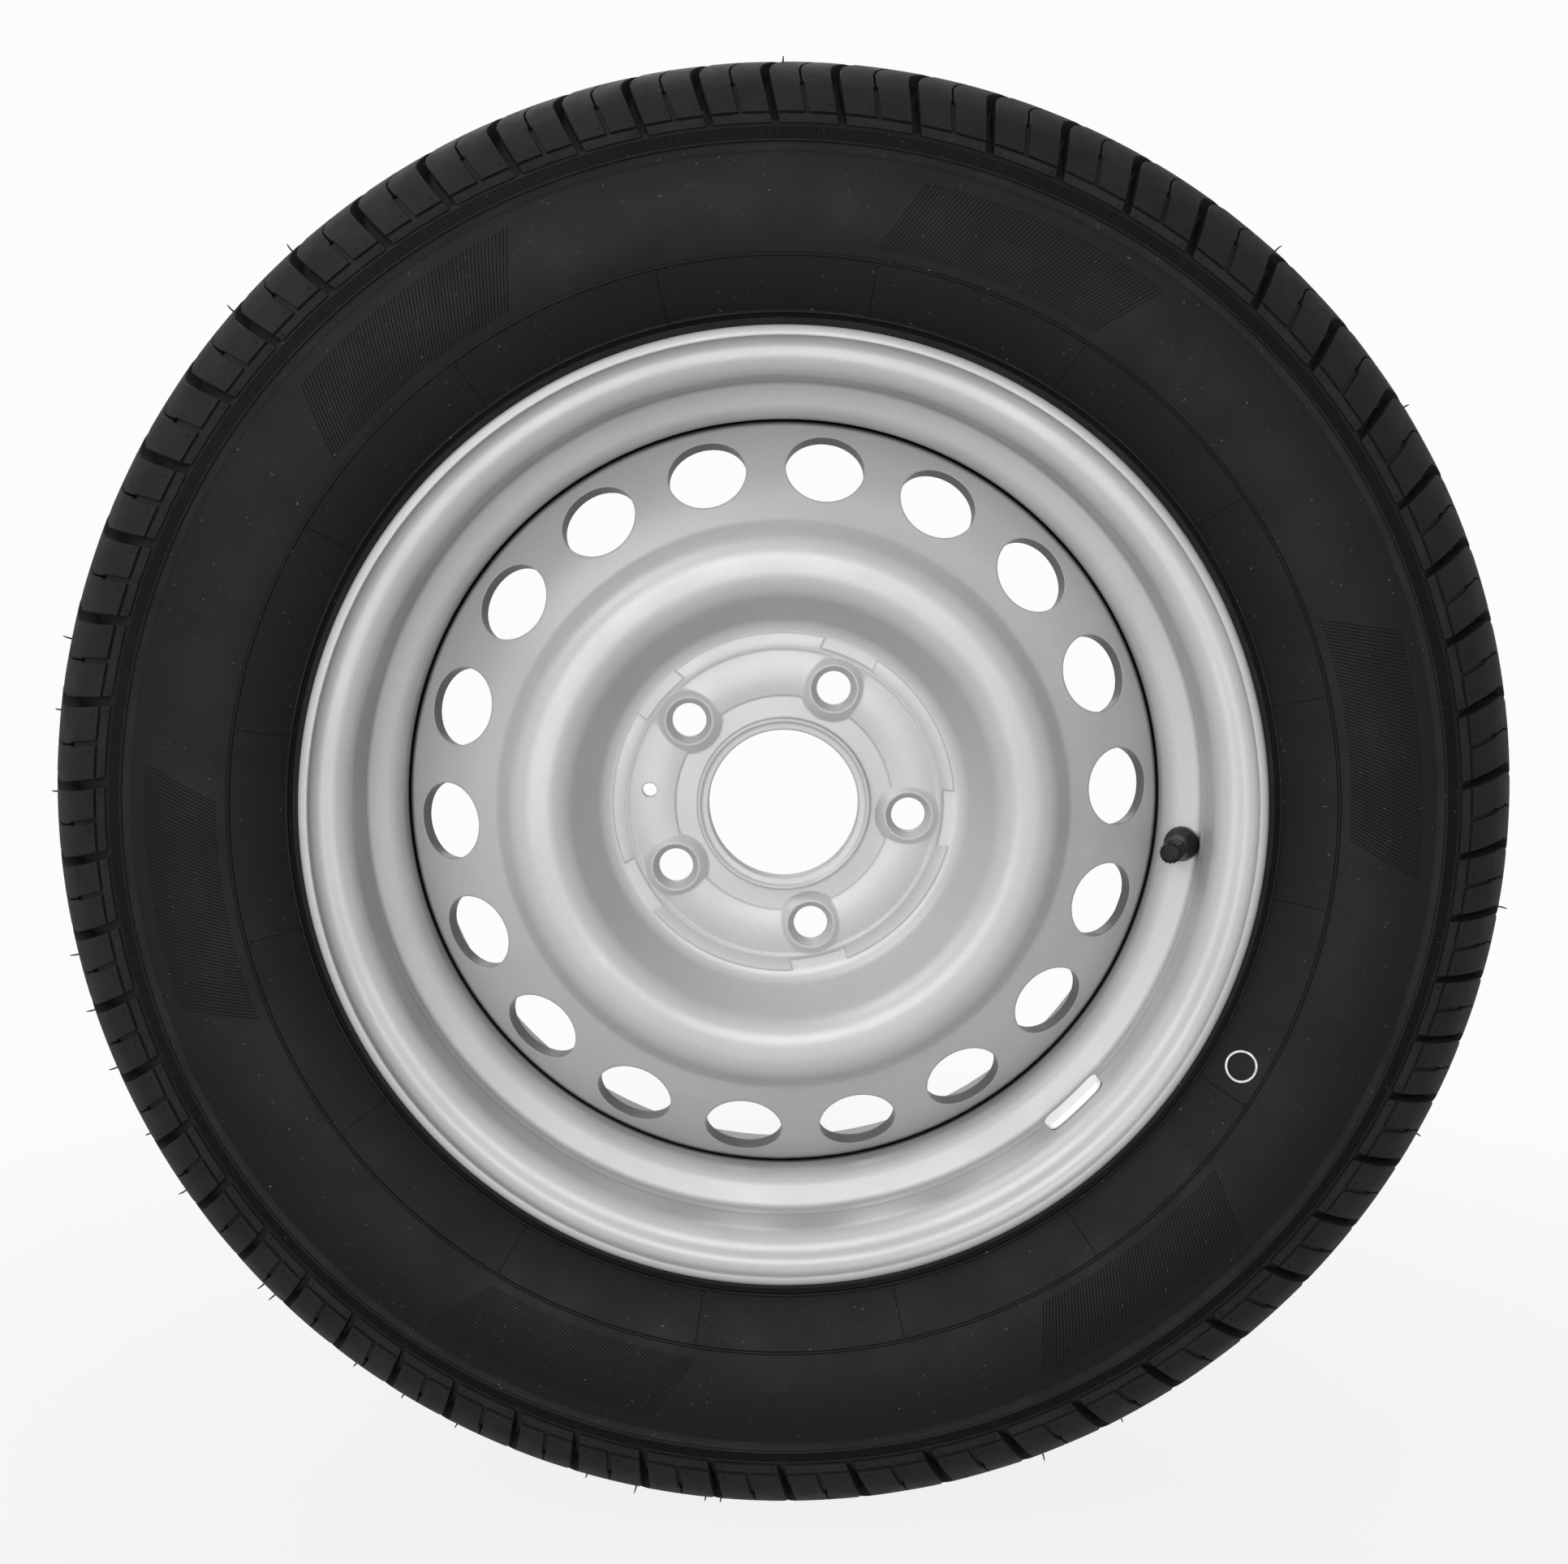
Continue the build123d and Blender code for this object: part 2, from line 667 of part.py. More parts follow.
# Dust cap and the sealing ring under its roof
cap_base = valve_sleeve_height + cap_skirt_gap
cap_seal_base = stem_height + cap_seal_gap
cap_ceiling = cap_seal_base + cap_seal_height + cap_seal_gap
cap_bore = stem_radius + cap_thread_fit
with BuildPart() as cap_shell:
    with BuildSketch(valve_section):
        with BuildLine():
            outside = FilletPolyline(
                (cap_bore, cap_base),
                (cap_radius, cap_base),
                (cap_radius - cap_taper, cap_ceiling + cap_roof),
                (0, cap_ceiling + cap_roof),
                radius=[cap_taper, cap_top_round],
            )
            Polyline(outside @ 1, (0, cap_ceiling), (cap_bore, cap_ceiling), outside @ 0)
        make_face()
    revolve(axis=valve_axis)
cap_shell.part.label = "cap_shell"
export_step(cap_shell.part, "parts/cap_shell.step")

with BuildPart() as cap_seal:
    with BuildSketch(valve_plane.offset(cap_seal_base)):
        Circle(cap_bore - cap_seal_gap)
        Circle(cap_seal_inner_radius, mode=Mode.SUBTRACT)
    extrude(amount=cap_seal_height)
cap_seal.part.label = "cap_seal"
export_step(cap_seal.part, "parts/cap_seal.step")

# Balance weight on its tape, both bent to the inner face of the outboard bead seat
seat_along = Vector(-sin(radians(seat_taper)), cos(radians(seat_taper)))
seat_inward = Vector(-cos(radians(seat_taper)), -sin(radians(seat_taper)))
seat_middle = Vector(bead_radius, -half_width) + seat_along * weight_setback + seat_inward * rim_sheet
weight_plane = Plane(
    origin=polar(seat_middle.X, seat_middle.Y, weight_angle),
    x_dir=(-sin(radians(weight_angle)), 0, cos(radians(weight_angle))),
    z_dir=polar(seat_inward.X, seat_inward.Y, weight_angle),
)


def seat_pad(near, far, length, width):
    """Rounded pad inside the bead seat, between two depths below the seat's inner face."""
    reach = degrees(2 * length / seat_middle.X)
    with BuildPart() as pad:
        with BuildSketch(Plane.XY.rotated((0, -weight_angle - reach / 2, 0))):
            with BuildLine():
                Polyline(
                    seat_middle + seat_inward * near - seat_along * width,
                    seat_middle + seat_inward * near + seat_along * width,
                    seat_middle + seat_inward * far + seat_along * width,
                    seat_middle + seat_inward * far - seat_along * width,
                    close=True,
                )
            make_face()
        revolve(axis=Axis.Y, revolution_arc=reach)
        with BuildSketch(weight_plane):
            RectangleRounded(length, width, weight_corner)
        extrude(amount=2 * far + length / 4, both=True, mode=Mode.INTERSECT)
    return pad.part


weight_near = tape_gap + tape_thickness + tape_gap
weight_tape = seat_pad(
    tape_gap, tape_gap + tape_thickness, weight_length - 2 * tape_margin, weight_width - 2 * tape_margin
)
weight_tape.label = "weight_tape"
export_step(weight_tape, "parts/weight_tape.step")
balance_weight = seat_pad(weight_near, weight_near + weight_thickness, weight_length, weight_width)
balance_weight.label = "balance_weight"
export_step(balance_weight, "parts/balance_weight.step")
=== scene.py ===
"""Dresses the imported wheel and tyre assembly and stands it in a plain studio.

The wheel turns about Y, its outboard face looks along -Y and Z is up. Lengths are in metres, and a name that
ends in mm holds millimetres. A turn is measured clockwise from the top, as seen from outboard, and reach is
the distance from the wheel's middle plane.
"""

import logging
from collections.abc import Callable, Sequence
from dataclasses import dataclass, field
from enum import Enum
from math import atan2, cos, hypot, pi, radians, sin, sqrt, tan

import bmesh
import bpy
from mathutils import Matrix, Vector


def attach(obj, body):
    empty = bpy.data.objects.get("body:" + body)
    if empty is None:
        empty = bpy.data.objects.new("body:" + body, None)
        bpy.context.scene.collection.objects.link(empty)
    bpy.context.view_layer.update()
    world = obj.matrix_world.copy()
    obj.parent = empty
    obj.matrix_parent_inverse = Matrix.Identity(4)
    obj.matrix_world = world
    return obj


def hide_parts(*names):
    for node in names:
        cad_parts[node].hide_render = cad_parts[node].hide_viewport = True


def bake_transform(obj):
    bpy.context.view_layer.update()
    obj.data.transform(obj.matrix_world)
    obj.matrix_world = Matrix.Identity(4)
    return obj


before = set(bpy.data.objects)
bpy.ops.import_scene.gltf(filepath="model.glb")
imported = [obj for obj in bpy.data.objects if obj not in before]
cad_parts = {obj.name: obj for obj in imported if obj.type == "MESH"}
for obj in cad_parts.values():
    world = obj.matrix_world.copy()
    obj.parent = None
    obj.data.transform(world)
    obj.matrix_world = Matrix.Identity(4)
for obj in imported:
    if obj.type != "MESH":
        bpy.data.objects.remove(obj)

LOG = logging.getLogger("wheel")
MM = 0.001
DUST = "#8f8b86"
# Painted shade: a dark tone laid into crevices and seams, where shade falls.
CREVICE_SHADE = "#191817"
# Painted shade on the walls of the vents, which lie in the holes' own shade.
VENT_WALL_SHADE = "#6a6a69"
# Name of the face attribute that marks where the vent walls' painted shade goes.
VENT_SHADE_ATTRIBUTE = "painted_vent_shade"
CRISP = 32.0
MERGE = 0.002 * MM

Point = tuple[float, float, float]
SectionPoint = tuple[float, float]
SectionPoints = tuple[SectionPoint, ...]
Numbers = tuple[float, ...]
Arc = tuple[SectionPoint, float, float, float, int]
Colour = tuple[float, float, float, float]
Tree = bpy.types.NodeTree
Socket = bpy.types.NodeSocket


class Body(Enum):
    """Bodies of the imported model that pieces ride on."""

    WHEEL = "wheel"
    CAP = "dust_cap"
    PIN = "valve_pin"


class Slot(Enum):
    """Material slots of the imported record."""

    TYRE = "tyre_rubber"
    PAINT = "silver_paint"
    VALVE = "valve_rubber"
    SPRING = "spring_steel"
    CAP = "cap_plastic"
    WEIGHT = "weight_coating"


def linear(code: str) -> Colour:
    """Turn an sRGB hex code into a linear colour.

    Args:
        code: Six hex digits after a hash.

    Returns:
        Red, green, blue and alpha for a shader socket.
    """
    channels = [int(code[i : i + 2], 16) / 255 for i in (1, 3, 5)]
    return (*(c / 12.92 if c <= 0.04045 else ((c + 0.055) / 1.055) ** 2.4 for c in channels), 1.0)


def add_node(tree: Tree, kind: str, inputs: dict | None = None, **settings: object) -> bpy.types.Node:
    """Add a node to a tree, with its settings and links.

    Args:
        tree: Tree that gets the node.
        kind: Blender's name of the node type.
        inputs: Values or sockets for the node's inputs, by name or place.
        **settings: Values for the node's own properties.

    Returns:
        The new node.
    """
    node = tree.nodes.new(kind)
    for name, value in settings.items():
        setattr(node, name, value)
    for key, value in (inputs or {}).items():
        if isinstance(value, Socket):
            tree.links.new(value, node.inputs[key])
        else:
            node.inputs[key].default_value = value
    return node


@dataclass(frozen=True)
class Finish:
    """A real material: its two tones, its gloss and the grain of its surface, with painted shade in crevices
    and on vent walls where set.

    Ends are the two strengths of a pattern between which its effect comes in.
    """

    name: str
    colour: str
    shade: str
    roughness: float
    metallic: float = 0.0
    specular: float = 0.5
    patch_mm: float = 40.0
    patch_share: float = 0.6
    speck_mm: float = 1.0
    speck_share: float = 0.3
    tone_ends: tuple[float, float] = (0.35, 0.65)
    grain_mm: float = 0.6
    grain_depth_mm: float = 0.02
    gloss_spread: float = 0.06
    gloss_patch: float = 0.4
    gloss_ends: tuple[float, float] = (0.3, 0.7)
    edge_mm: float = 0.0
    dust_share: float = 0.0
    dust_mm: float = 1.7
    dust_ends: tuple[float, float] = (0.7, 0.76)
    crevice_mm: float = 0.0
    crevice_ends: tuple[float, float] = (0.12, 0.5)
    painted_vent_shade: bool = False

    def noise(self, tree: Tree, place: Socket, size_mm: float) -> Socket:
        """Add a noise pattern.

        Args:
            tree: The material's tree.
            place: Coordinates in metres.
            size_mm: Size of one blotch.

        Returns:
            The pattern's strength, about 0.5 on average.
        """
        settings = {"Vector": place, "Scale": 1000 / size_mm, "Detail": 3.0, "Roughness": 0.55}
        return add_node(tree, "ShaderNodeTexNoise", settings).outputs["Fac"]

    def tone(self, tree: Tree, place: Socket) -> Socket:
        """Mix the two tones in patches and specks, then painted shade on the vent walls, painted shade in
        crevices and dust where there are some.

        Args:
            tree: The material's tree.
            place: Coordinates in metres.

        Returns:
            The surface colour.
        """
        shares = []
        for size_mm, most in ((self.patch_mm, self.patch_share), (self.speck_mm, self.speck_share)):
            pattern = self.noise(tree, place, size_mm)
            spread = {"Value": pattern, 1: self.tone_ends[0], 2: self.tone_ends[1], 4: most}
            shares.append(add_node(tree, "ShaderNodeMapRange", spread).outputs[0])
        share = add_node(tree, "ShaderNodeMath", dict(enumerate(shares)), operation="ADD").outputs[0]
        layers = [(share, self.shade)]
        # Painted shade: the vent walls take a darker tone where the attribute marks them.
        if self.painted_vent_shade:
            wall = add_node(tree, "ShaderNodeAttribute", attribute_name=VENT_SHADE_ATTRIBUTE).outputs["Fac"]
            layers.append((wall, VENT_WALL_SHADE))
        # Painted shade: ambient occlusion darkens the colour in crevices and seams.
        if self.crevice_mm:
            reach = {"Distance": self.crevice_mm * MM}
            sky = add_node(tree, "ShaderNodeAmbientOcclusion", reach).outputs["AO"]
            spread = {"Value": sky, 1: self.crevice_ends[0], 2: self.crevice_ends[1], 3: 1.0, 4: 0.0}
            layers.append((add_node(tree, "ShaderNodeMapRange", spread).outputs[0], CREVICE_SHADE))
        if self.dust_share:
            pattern = self.noise(tree, place, self.dust_mm)
            spread = {"Value": pattern, 1: self.dust_ends[0], 2: self.dust_ends[1], 4: self.dust_share}
            layers.append((add_node(tree, "ShaderNodeMapRange", spread).outputs[0], DUST))
        colour = linear(self.colour)
        for share, over in layers:
            colours = {0: share, 6: colour, 7: linear(over)}
            colour = add_node(tree, "ShaderNodeMix", colours, data_type="RGBA").outputs[2]
        return colour

    def material(self) -> bpy.types.Material:
        """Build the material once.

        Returns:
            The material of this finish.
        """
        found = bpy.data.materials.get(self.name)
        if found:
            return found
        material = bpy.data.materials.new(self.name)
        material.use_nodes = True
        tree = material.node_tree
        shader = tree.nodes["Principled BSDF"]
        place = add_node(tree, "ShaderNodeTexCoord").outputs["Object"]
        tree.links.new(self.tone(tree, place), shader.inputs["Base Color"])
        gloss = {
            "Value": self.noise(tree, place, self.patch_mm * self.gloss_patch),
            1: self.gloss_ends[0],
            2: self.gloss_ends[1],
            3: self.roughness - self.gloss_spread,
            4: self.roughness + self.gloss_spread,
        }
        tree.links.new(add_node(tree, "ShaderNodeMapRange", gloss).outputs[0], shader.inputs["Roughness"])
        grain = {"Height": self.noise(tree, place, self.grain_mm), "Distance": self.grain_depth_mm * MM}
        if self.edge_mm:
            grain["Normal"] = add_node(tree, "ShaderNodeBevel", {"Radius": self.edge_mm * MM}).outputs[0]
        tree.links.new(add_node(tree, "ShaderNodeBump", grain).outputs[0], shader.inputs["Normal"])
        shader.inputs["Metallic"].default_value = self.metallic
        shader.inputs["Specular IOR Level"].default_value = self.specular
        return material


# Moulded tyre rubber: a deep, slightly warm black with a dull sheen and a fine orange-peel grain.
TYRE_RUBBER = Finish(
    "moulded tyre rubber", "#0b0b0c", "#111112", 0.58,
    specular=0.12, patch_mm=70, grain_mm=0.7, grain_depth_mm=0.03, dust_share=0.35,
)
# Tread rubber: greyer and more matt than the sidewall, because its skin is rougher.
TREAD_RUBBER = Finish(
    "moulded tread rubber", "#151415", "#1d1c1c", 0.7,
    specular=0.12, patch_mm=24, grain_mm=0.9, grain_depth_mm=0.05,
)
# Silver metallic lacquer on pressed steel: a satin sheen, with flakes that only just show as a fine speckle.
# Painted shade darkens its crevices and seams, and painted shade darkens the walls of its vents.
SILVER_PAINT = Finish(
    "silver metallic lacquer", "#b5b5b4", "#a7a7a6", 0.4,
    metallic=0.1, specular=0.3, patch_mm=90, patch_share=0.5, speck_mm=0.8, speck_share=0.35,
    grain_mm=1.4, grain_depth_mm=0.006, gloss_spread=0.04, edge_mm=1.3, crevice_mm=5.0, painted_vent_shade=True,
)
# Snap-in valve rubber: smooth and glossy black.
VALVE_RUBBER = Finish(
    "moulded valve rubber", "#0a0a0b", "#111112", 0.3, specular=0.12, patch_mm=9, grain_mm=0.4
)
# Injection-moulded polypropylene cap: black, with pale scuffs where it has been rubbed.
CAP_PLASTIC = Finish(
    "moulded black polypropylene", "#0a0a0a", "#1c1c1b", 0.4,
    specular=0.12, patch_mm=7, speck_mm=1.1, grain_mm=0.5, grain_depth_mm=0.04, dust_share=0.9,
)
# Turned brass: warm yellow with a bright, slightly streaky sheen.
TURNED_BRASS = Finish(
    "turned brass", "#d9b777", "#c29a55", 0.28,
    metallic=1.0, patch_mm=5, grain_mm=0.3, grain_depth_mm=0.004,
)
# Moulded seal rubber: dull black.
SEAL_RUBBER = Finish("moulded seal rubber", "#1a1a1a", "#242424", 0.7, patch_mm=3, grain_mm=0.3)
# Drawn spring wire: bright grey steel.
SPRING_STEEL = Finish(
    "drawn spring steel", "#b7b8ba", "#9fa1a4", 0.25,
    metallic=1.0, patch_mm=2, grain_mm=0.2, grain_depth_mm=0.002,
)
# White plastic coating on a stick-on weight: an even, faintly warm white.
WEIGHT_COATING = Finish(
    "white plastic coating", "#ffffff", "#f8f8f6", 0.5,
    patch_mm=12, speck_mm=2, grain_mm=1.2, grain_depth_mm=0.02,
)
# Closed-cell foam tape: pale grey and quite matt, with small pores.
FOAM_TAPE = Finish(
    "closed-cell foam tape", "#b9b9b6", "#a3a3a0", 0.9, patch_mm=4, grain_mm=0.6, grain_depth_mm=0.12
)
# Stamping ink on rubber: chalky white, thin enough for the rubber to show through in places.
STAMP_INK = Finish(
    "white stamping ink", "#e6e6e4", "#a9a9a8", 0.75,
    patch_mm=3, speck_mm=0.7, grain_mm=0.7, grain_depth_mm=0.02,
)
# Arc weld metal under the lacquer: the same silver, a little duller.
WELD_METAL = Finish(
    "lacquered weld metal", "#b4b4b2", "#9d9d9b", 0.5,
    metallic=0.7, patch_mm=6, grain_mm=0.8, grain_depth_mm=0.03,
)


@dataclass
class Shape:
    """Points and faces gathered for one mesh."""

    points: list[Point] = field(default_factory=list)
    faces: list[tuple[int, ...]] = field(default_factory=list)

    @classmethod
    def skinned(cls, rings: Sequence[Sequence[Point]], hoop: bool = False) -> "Shape":
        """Skin a closed solid over rings of equal length.

        Args:
            rings: Closed rings of points, from one end to the other.
            hoop: Whether the last ring joins the first. Otherwise both ends are closed.

        Returns:
            The solid.
        """
        count, last = len(rings[0]), len(rings) - 1
        faces = [] if hoop else [tuple(range(count))]
        for i in range(len(rings) if hoop else last):
            here, there = i * count, (i + 1) % len(rings) * count
            for j in range(count):
                k = (j + 1) % count
                faces.append((here + j, here + k, there + k, there + j))
        if not hoop:
            faces.append(tuple(last * count + j for j in range(count)))
        return cls([point for ring in rings for point in ring], faces)

    def join(self, other: "Shape") -> None:
        """Take in another shape.

        Args:
            other: Shape whose points and faces are added to these.
        """
        start = len(self.points)
        self.points.extend(other.points)
        self.faces.extend(tuple(start + n for n in face) for face in other.faces)

    def with_other_side(self) -> "Shape":
        """Repeat the shape on the inboard side, turned half round the upright axis.

        Returns:
            A shape that holds both.
        """
        both = Shape(list(self.points), list(self.faces))
        both.join(Shape([(-x, -y, z) for x, y, z in self.points], self.faces))
        return both

    def piece(self, name: str, material: bpy.types.Material, sharp: float = CRISP) -> bpy.types.Object:
        """Turn the shape into an object with its faces outwards and its crisp edges kept.

        Args:
            name: Name of the object.
            material: Material of all its faces.
            sharp: Edges that bend by more than this many degrees stay crisp.

        Returns:
            The new object.
        """
        mesh = bpy.data.meshes.new(name)
        mesh.from_pydata(self.points, [], self.faces)
        tidy_mesh(mesh, sharp)
        mesh.materials.append(material)
        piece = bpy.data.objects.new(name, mesh)
        bpy.context.scene.collection.objects.link(piece)
        return piece


def tidy_mesh(mesh: bpy.types.Mesh, sharp: float, merge: float = 0.0) -> None:
    """Merge doubles, turn faces outwards and smooth a mesh up to its crisp edges.

    Args:
        mesh: Mesh to change.
        sharp: Edges that bend by more than this many degrees stay crisp.
        merge: Points nearer than this become one, where it isn't 0.
    """
    work = bmesh.new()
    work.from_mesh(mesh)
    if merge:
        bmesh.ops.remove_doubles(work, verts=work.verts, dist=merge)
    bmesh.ops.recalc_face_normals(work, faces=work.faces)
    work.to_mesh(mesh)
    work.free()
    mesh.shade_smooth()
    mesh.set_sharp_from_angle(angle=radians(sharp))


def metres(pairs: Sequence[SectionPoint]) -> list[SectionPoint]:
    """Turn pairs of millimetres into metres."""
    return [(first * MM, second * MM) for first, second in pairs]


def circle(corners: int) -> list[SectionPoint]:
    """Give the cosine and the sine of each corner of a regular ring."""
    return [(cos(2 * pi * n / corners), sin(2 * pi * n / corners)) for n in range(corners)]


def turned(section: Sequence[SectionPoint], segments: int) -> Shape:
    """Turn a closed section, given as radius and Y, about the wheel's axis in so many facets."""
    rings = [[(r * across, y, r * up) for r, y in section] for up, across in circle(segments)]
    return Shape.skinned(rings, hoop=True)


def arc(centre: SectionPoint, radius: float, start: float, end: float, steps: int) -> list[SectionPoint]:
    """Points of an arc in the wheel's section.

    Args:
        centre: Radius and reach of the arc's centre.
        radius: Radius of the arc.
        start: Angle of the first point in degrees, from outwards towards more reach.
        end: Angle of the last point in degrees.
        steps: Number of pieces that the arc is cut into.

    Returns:
        Radius and reach of each point.
    """
    angles = [radians(start + (end - start) * i / steps) for i in range(steps + 1)]
    return [(centre[0] + radius * cos(a), centre[1] + radius * sin(a)) for a in angles]


def rounded(corners: Sequence[tuple[float, float, float]], step: float = 8.0) -> list[Vector]:
    """Round the corners of an open line in the wheel's section.

    Args:
        corners: Radius, reach and curve of each corner. The two ends stay as they are.
        step: Bend between two points of a curve, in degrees.

    Returns:
        Points of the rounded line.
    """
    points = [Vector(corners[0][:2])]
    for before, (*place, curve), after in zip(corners, corners[1:], corners[2:]):
        here = Vector(place)
        back, ahead = (Vector(before[:2]) - here).normalized(), (Vector(after[:2]) - here).normalized()
        bend = pi - back.angle(ahead)
        run = curve * tan(bend / 2)
        centre = here + (back + ahead).normalized() * hypot(run, curve)
        first = here + back * run - centre
        sweep = bend if back.cross(ahead) < 0 else -bend
        pieces = max(2, round(bend / radians(step)))
        points += [centre + Matrix.Rotation(sweep * n / pieces, 2) @ first for n in range(pieces + 1)]
    return points + [Vector(corners[-1][:2])]


def sheet_section(line: Sequence[Vector], thickness: float) -> list[SectionPoint]:
    """Give a line the thickness of a sheet, towards the axis where it runs inboard.

    Args:
        line: Points of one face of the sheet.
        thickness: Thickness of the sheet.

    Returns:
        The closed section.
    """
    ahead = [*line[1:], line[-1]]
    behind = [line[0], *line[:-1]]
    runs = [(b - a).normalized() for a, b in zip(behind, ahead)]
    back = [point + Vector((-run.y, run.x)) * thickness for point, run in zip(line, runs)]
    return [tuple(point) for point in [*line, *reversed(back)]]


def new_tree(name: str, **kinds: str) -> tuple[Tree, bpy.types.NodeOutputs]:
    """Start a Geometry Nodes tree with its named inputs.

    Args:
        name: Name of the tree.
        **kinds: Kind of each input, by its name with underscores for the spaces.

    Returns:
        The tree, and the outputs of its group input.
    """
    tree = bpy.data.node_groups.new(name, "GeometryNodeTree")
    for label, kind in kinds.items():
        tree.interface.new_socket(
            label.replace("_", " "), in_out="INPUT", socket_type=f"NodeSocket{kind}"
        )
    tree.interface.new_socket("Geometry", in_out="OUTPUT", socket_type="NodeSocketGeometry")
    return tree, add_node(tree, "NodeGroupInput").outputs


def ring_tree() -> Tree:
    """Build the Geometry Nodes tree that sets evenly spaced copies of a template round the wheel.

    Returns:
        The tree, with inputs for the template, the counts, the steps and the material.
    """
    name = "copies round the wheel"
    found = bpy.data.node_groups.get(name)
    if found:
        return found
    tree, given = new_tree(
        name, Template="Object", Count="Int", Group_Size="Int", Group_Step="Float", Step="Float",
        Start="Float", Material="Material",
    )
    points = add_node(tree, "GeometryNodePoints", {"Count": given["Count"]}).outputs[0]
    index = add_node(tree, "GeometryNodeInputIndex").outputs[0]
    parts = {0: index, 1: given["Group Size"]}
    share = add_node(tree, "ShaderNodeMath", parts, operation="DIVIDE").outputs[0]
    group = add_node(tree, "ShaderNodeMath", {0: share}, operation="FLOOR").outputs[0]
    place = add_node(tree, "ShaderNodeMath", parts, operation="MODULO").outputs[0]
    turns = {0: group, 1: given["Group Step"], 2: given["Start"]}
    group_turn = add_node(tree, "ShaderNodeMath", turns, operation="MULTIPLY_ADD").outputs[0]
    turns = {0: place, 1: given["Step"], 2: group_turn}
    turn = add_node(tree, "ShaderNodeMath", turns, operation="MULTIPLY_ADD").outputs[0]
    place_copies(tree, given, points, turn)
    return tree


def pitch_tree() -> Tree:
    """Build the Geometry Nodes tree that sets a template at each tread pitch, stretched to the pitch.

    Returns:
        The tree, with inputs for the points, which carry turn and stretch, the template and the material.
    """
    tree, given = new_tree("tread pitches", Geometry="Geometry", Template="Object", Material="Material")
    turn, stretch = (
        add_node(tree, "GeometryNodeInputNamedAttribute", {"Name": name}, data_type="FLOAT").outputs[0]
        for name in ("turn", "stretch")
    )
    scale = add_node(tree, "ShaderNodeCombineXYZ", {0: stretch, 1: 1.0, 2: 1.0}).outputs[0]
    place_copies(tree, given, given["Geometry"], turn, scale)
    return tree


def scatter_tree() -> Tree:
    """Build the Geometry Nodes tree that scatters copies of a template round the wheel with a fixed seed.

    Returns:
        The tree, with inputs for the template, the count, the seed, the least turn and the material.
    """
    tree, given = new_tree(
        "scattered copies", Template="Object", Count="Int", Seed="Int", Least_Turn="Float",
        Material="Material",
    )
    points = add_node(tree, "GeometryNodePoints", {"Count": given["Count"]}).outputs[0]
    spread = {2: given["Least Turn"], 3: 2 * pi, "Seed": given["Seed"]}
    turn = add_node(tree, "FunctionNodeRandomValue", spread, data_type="FLOAT").outputs[1]
    place_copies(tree, given, points, turn)
    return tree


def place_copies(
    tree: Tree, given: bpy.types.NodeOutputs, points: Socket, turn: Socket, scale: Socket | None = None
) -> None:
    """Finish a tree: turn a copy of the template about the wheel's axis for each point, all of it as mesh.

    Args:
        tree: Tree to finish.
        given: Outputs of the tree's group input.
        points: One point for each copy.
        turn: Turn of each copy, in radians.
        scale: Scale of each copy, where it isn't 1.
    """
    source = {"Object": given["Template"]}
    template = add_node(tree, "GeometryNodeObjectInfo", source).outputs["Geometry"]
    euler = add_node(tree, "ShaderNodeCombineXYZ", {1: turn}).outputs[0]
    rotation = add_node(tree, "FunctionNodeEulerToRotation", {0: euler}).outputs[0]
    settings = {"Points": points, "Instance": template, "Rotation": rotation}
    if scale:
        settings["Scale"] = scale
    copies = add_node(tree, "GeometryNodeInstanceOnPoints", settings).outputs[0]
    mesh = add_node(tree, "GeometryNodeRealizeInstances", {0: copies}).outputs[0]
    settings = {"Geometry": mesh, "Material": given["Material"]}
    dressed = add_node(tree, "GeometryNodeSetMaterial", settings).outputs[0]
    add_node(tree, "NodeGroupOutput", {0: dressed})


def grow(
    name: str,
    tree: Tree,
    template: Shape,
    finish: Finish,
    points: bpy.types.Mesh | None = None,
    sharp: float = CRISP,
    **sizes: float,
) -> bpy.types.Object:
    """Run a Geometry Nodes tree on a template and keep the result as a plain mesh.

    Args:
        name: Name of the piece.
        tree: Tree to run.
        template: Shape that is repeated.
        finish: Finish of the piece.
        points: Mesh whose points carry the places, for a tree that takes them.
        sharp: Edges that bend by more than this many degrees stay crisp.
        **sizes: Values for the tree's other inputs, with underscores for the spaces in their names.

    Returns:
        The piece.
    """
    material = finish.material()
    pattern = template.piece(f"{name}_template", material, sharp)
    piece = bpy.data.objects.new(name, points or bpy.data.meshes.new(name))
    modifier = piece.modifiers.new("copies", "NODES")
    modifier.node_group = tree
    values = {"Template": pattern, "Material": material}
    values.update((label.replace("_", " "), value) for label, value in sizes.items())
    for item in tree.interface.items_tree:
        if item.in_out == "INPUT" and item.name in values:
            modifier[item.identifier] = values[item.name]
    bpy.context.scene.collection.objects.link(piece)
    ready = piece.evaluated_get(bpy.context.evaluated_depsgraph_get())
    mesh = bpy.data.meshes.new_from_object(ready)
    piece.modifiers.remove(modifier)
    piece.data = mesh
    mesh.name = name
    bpy.data.objects.remove(pattern)
    return piece


def keep(piece: bpy.types.Object, body: Body, slot: Slot, *nodes: str) -> None:
    """Set a finished piece on its body.

    Args:
        piece: The piece.
        body: Body that it rides on.
        slot: Material slot of the record. Not used.
        *nodes: CAD nodes that it stands for.
    """
    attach(piece, body.value)
    if nodes:
        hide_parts(*nodes)
    triangles = sum(len(p.vertices) - 2 for p in piece.data.polygons)
    LOG.info("%s on %s: %d triangles", piece.name, body.value, triangles)


def dress(node: str, finish: Finish) -> None:
    """Give a CAD node a finish.

    Args:
        node: Name of the node.
        finish: Its finish.
    """
    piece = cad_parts[node]
    piece.data.materials.clear()
    piece.data.materials.append(finish.material())
    LOG.info("%s dressed in %s", node, finish.name)


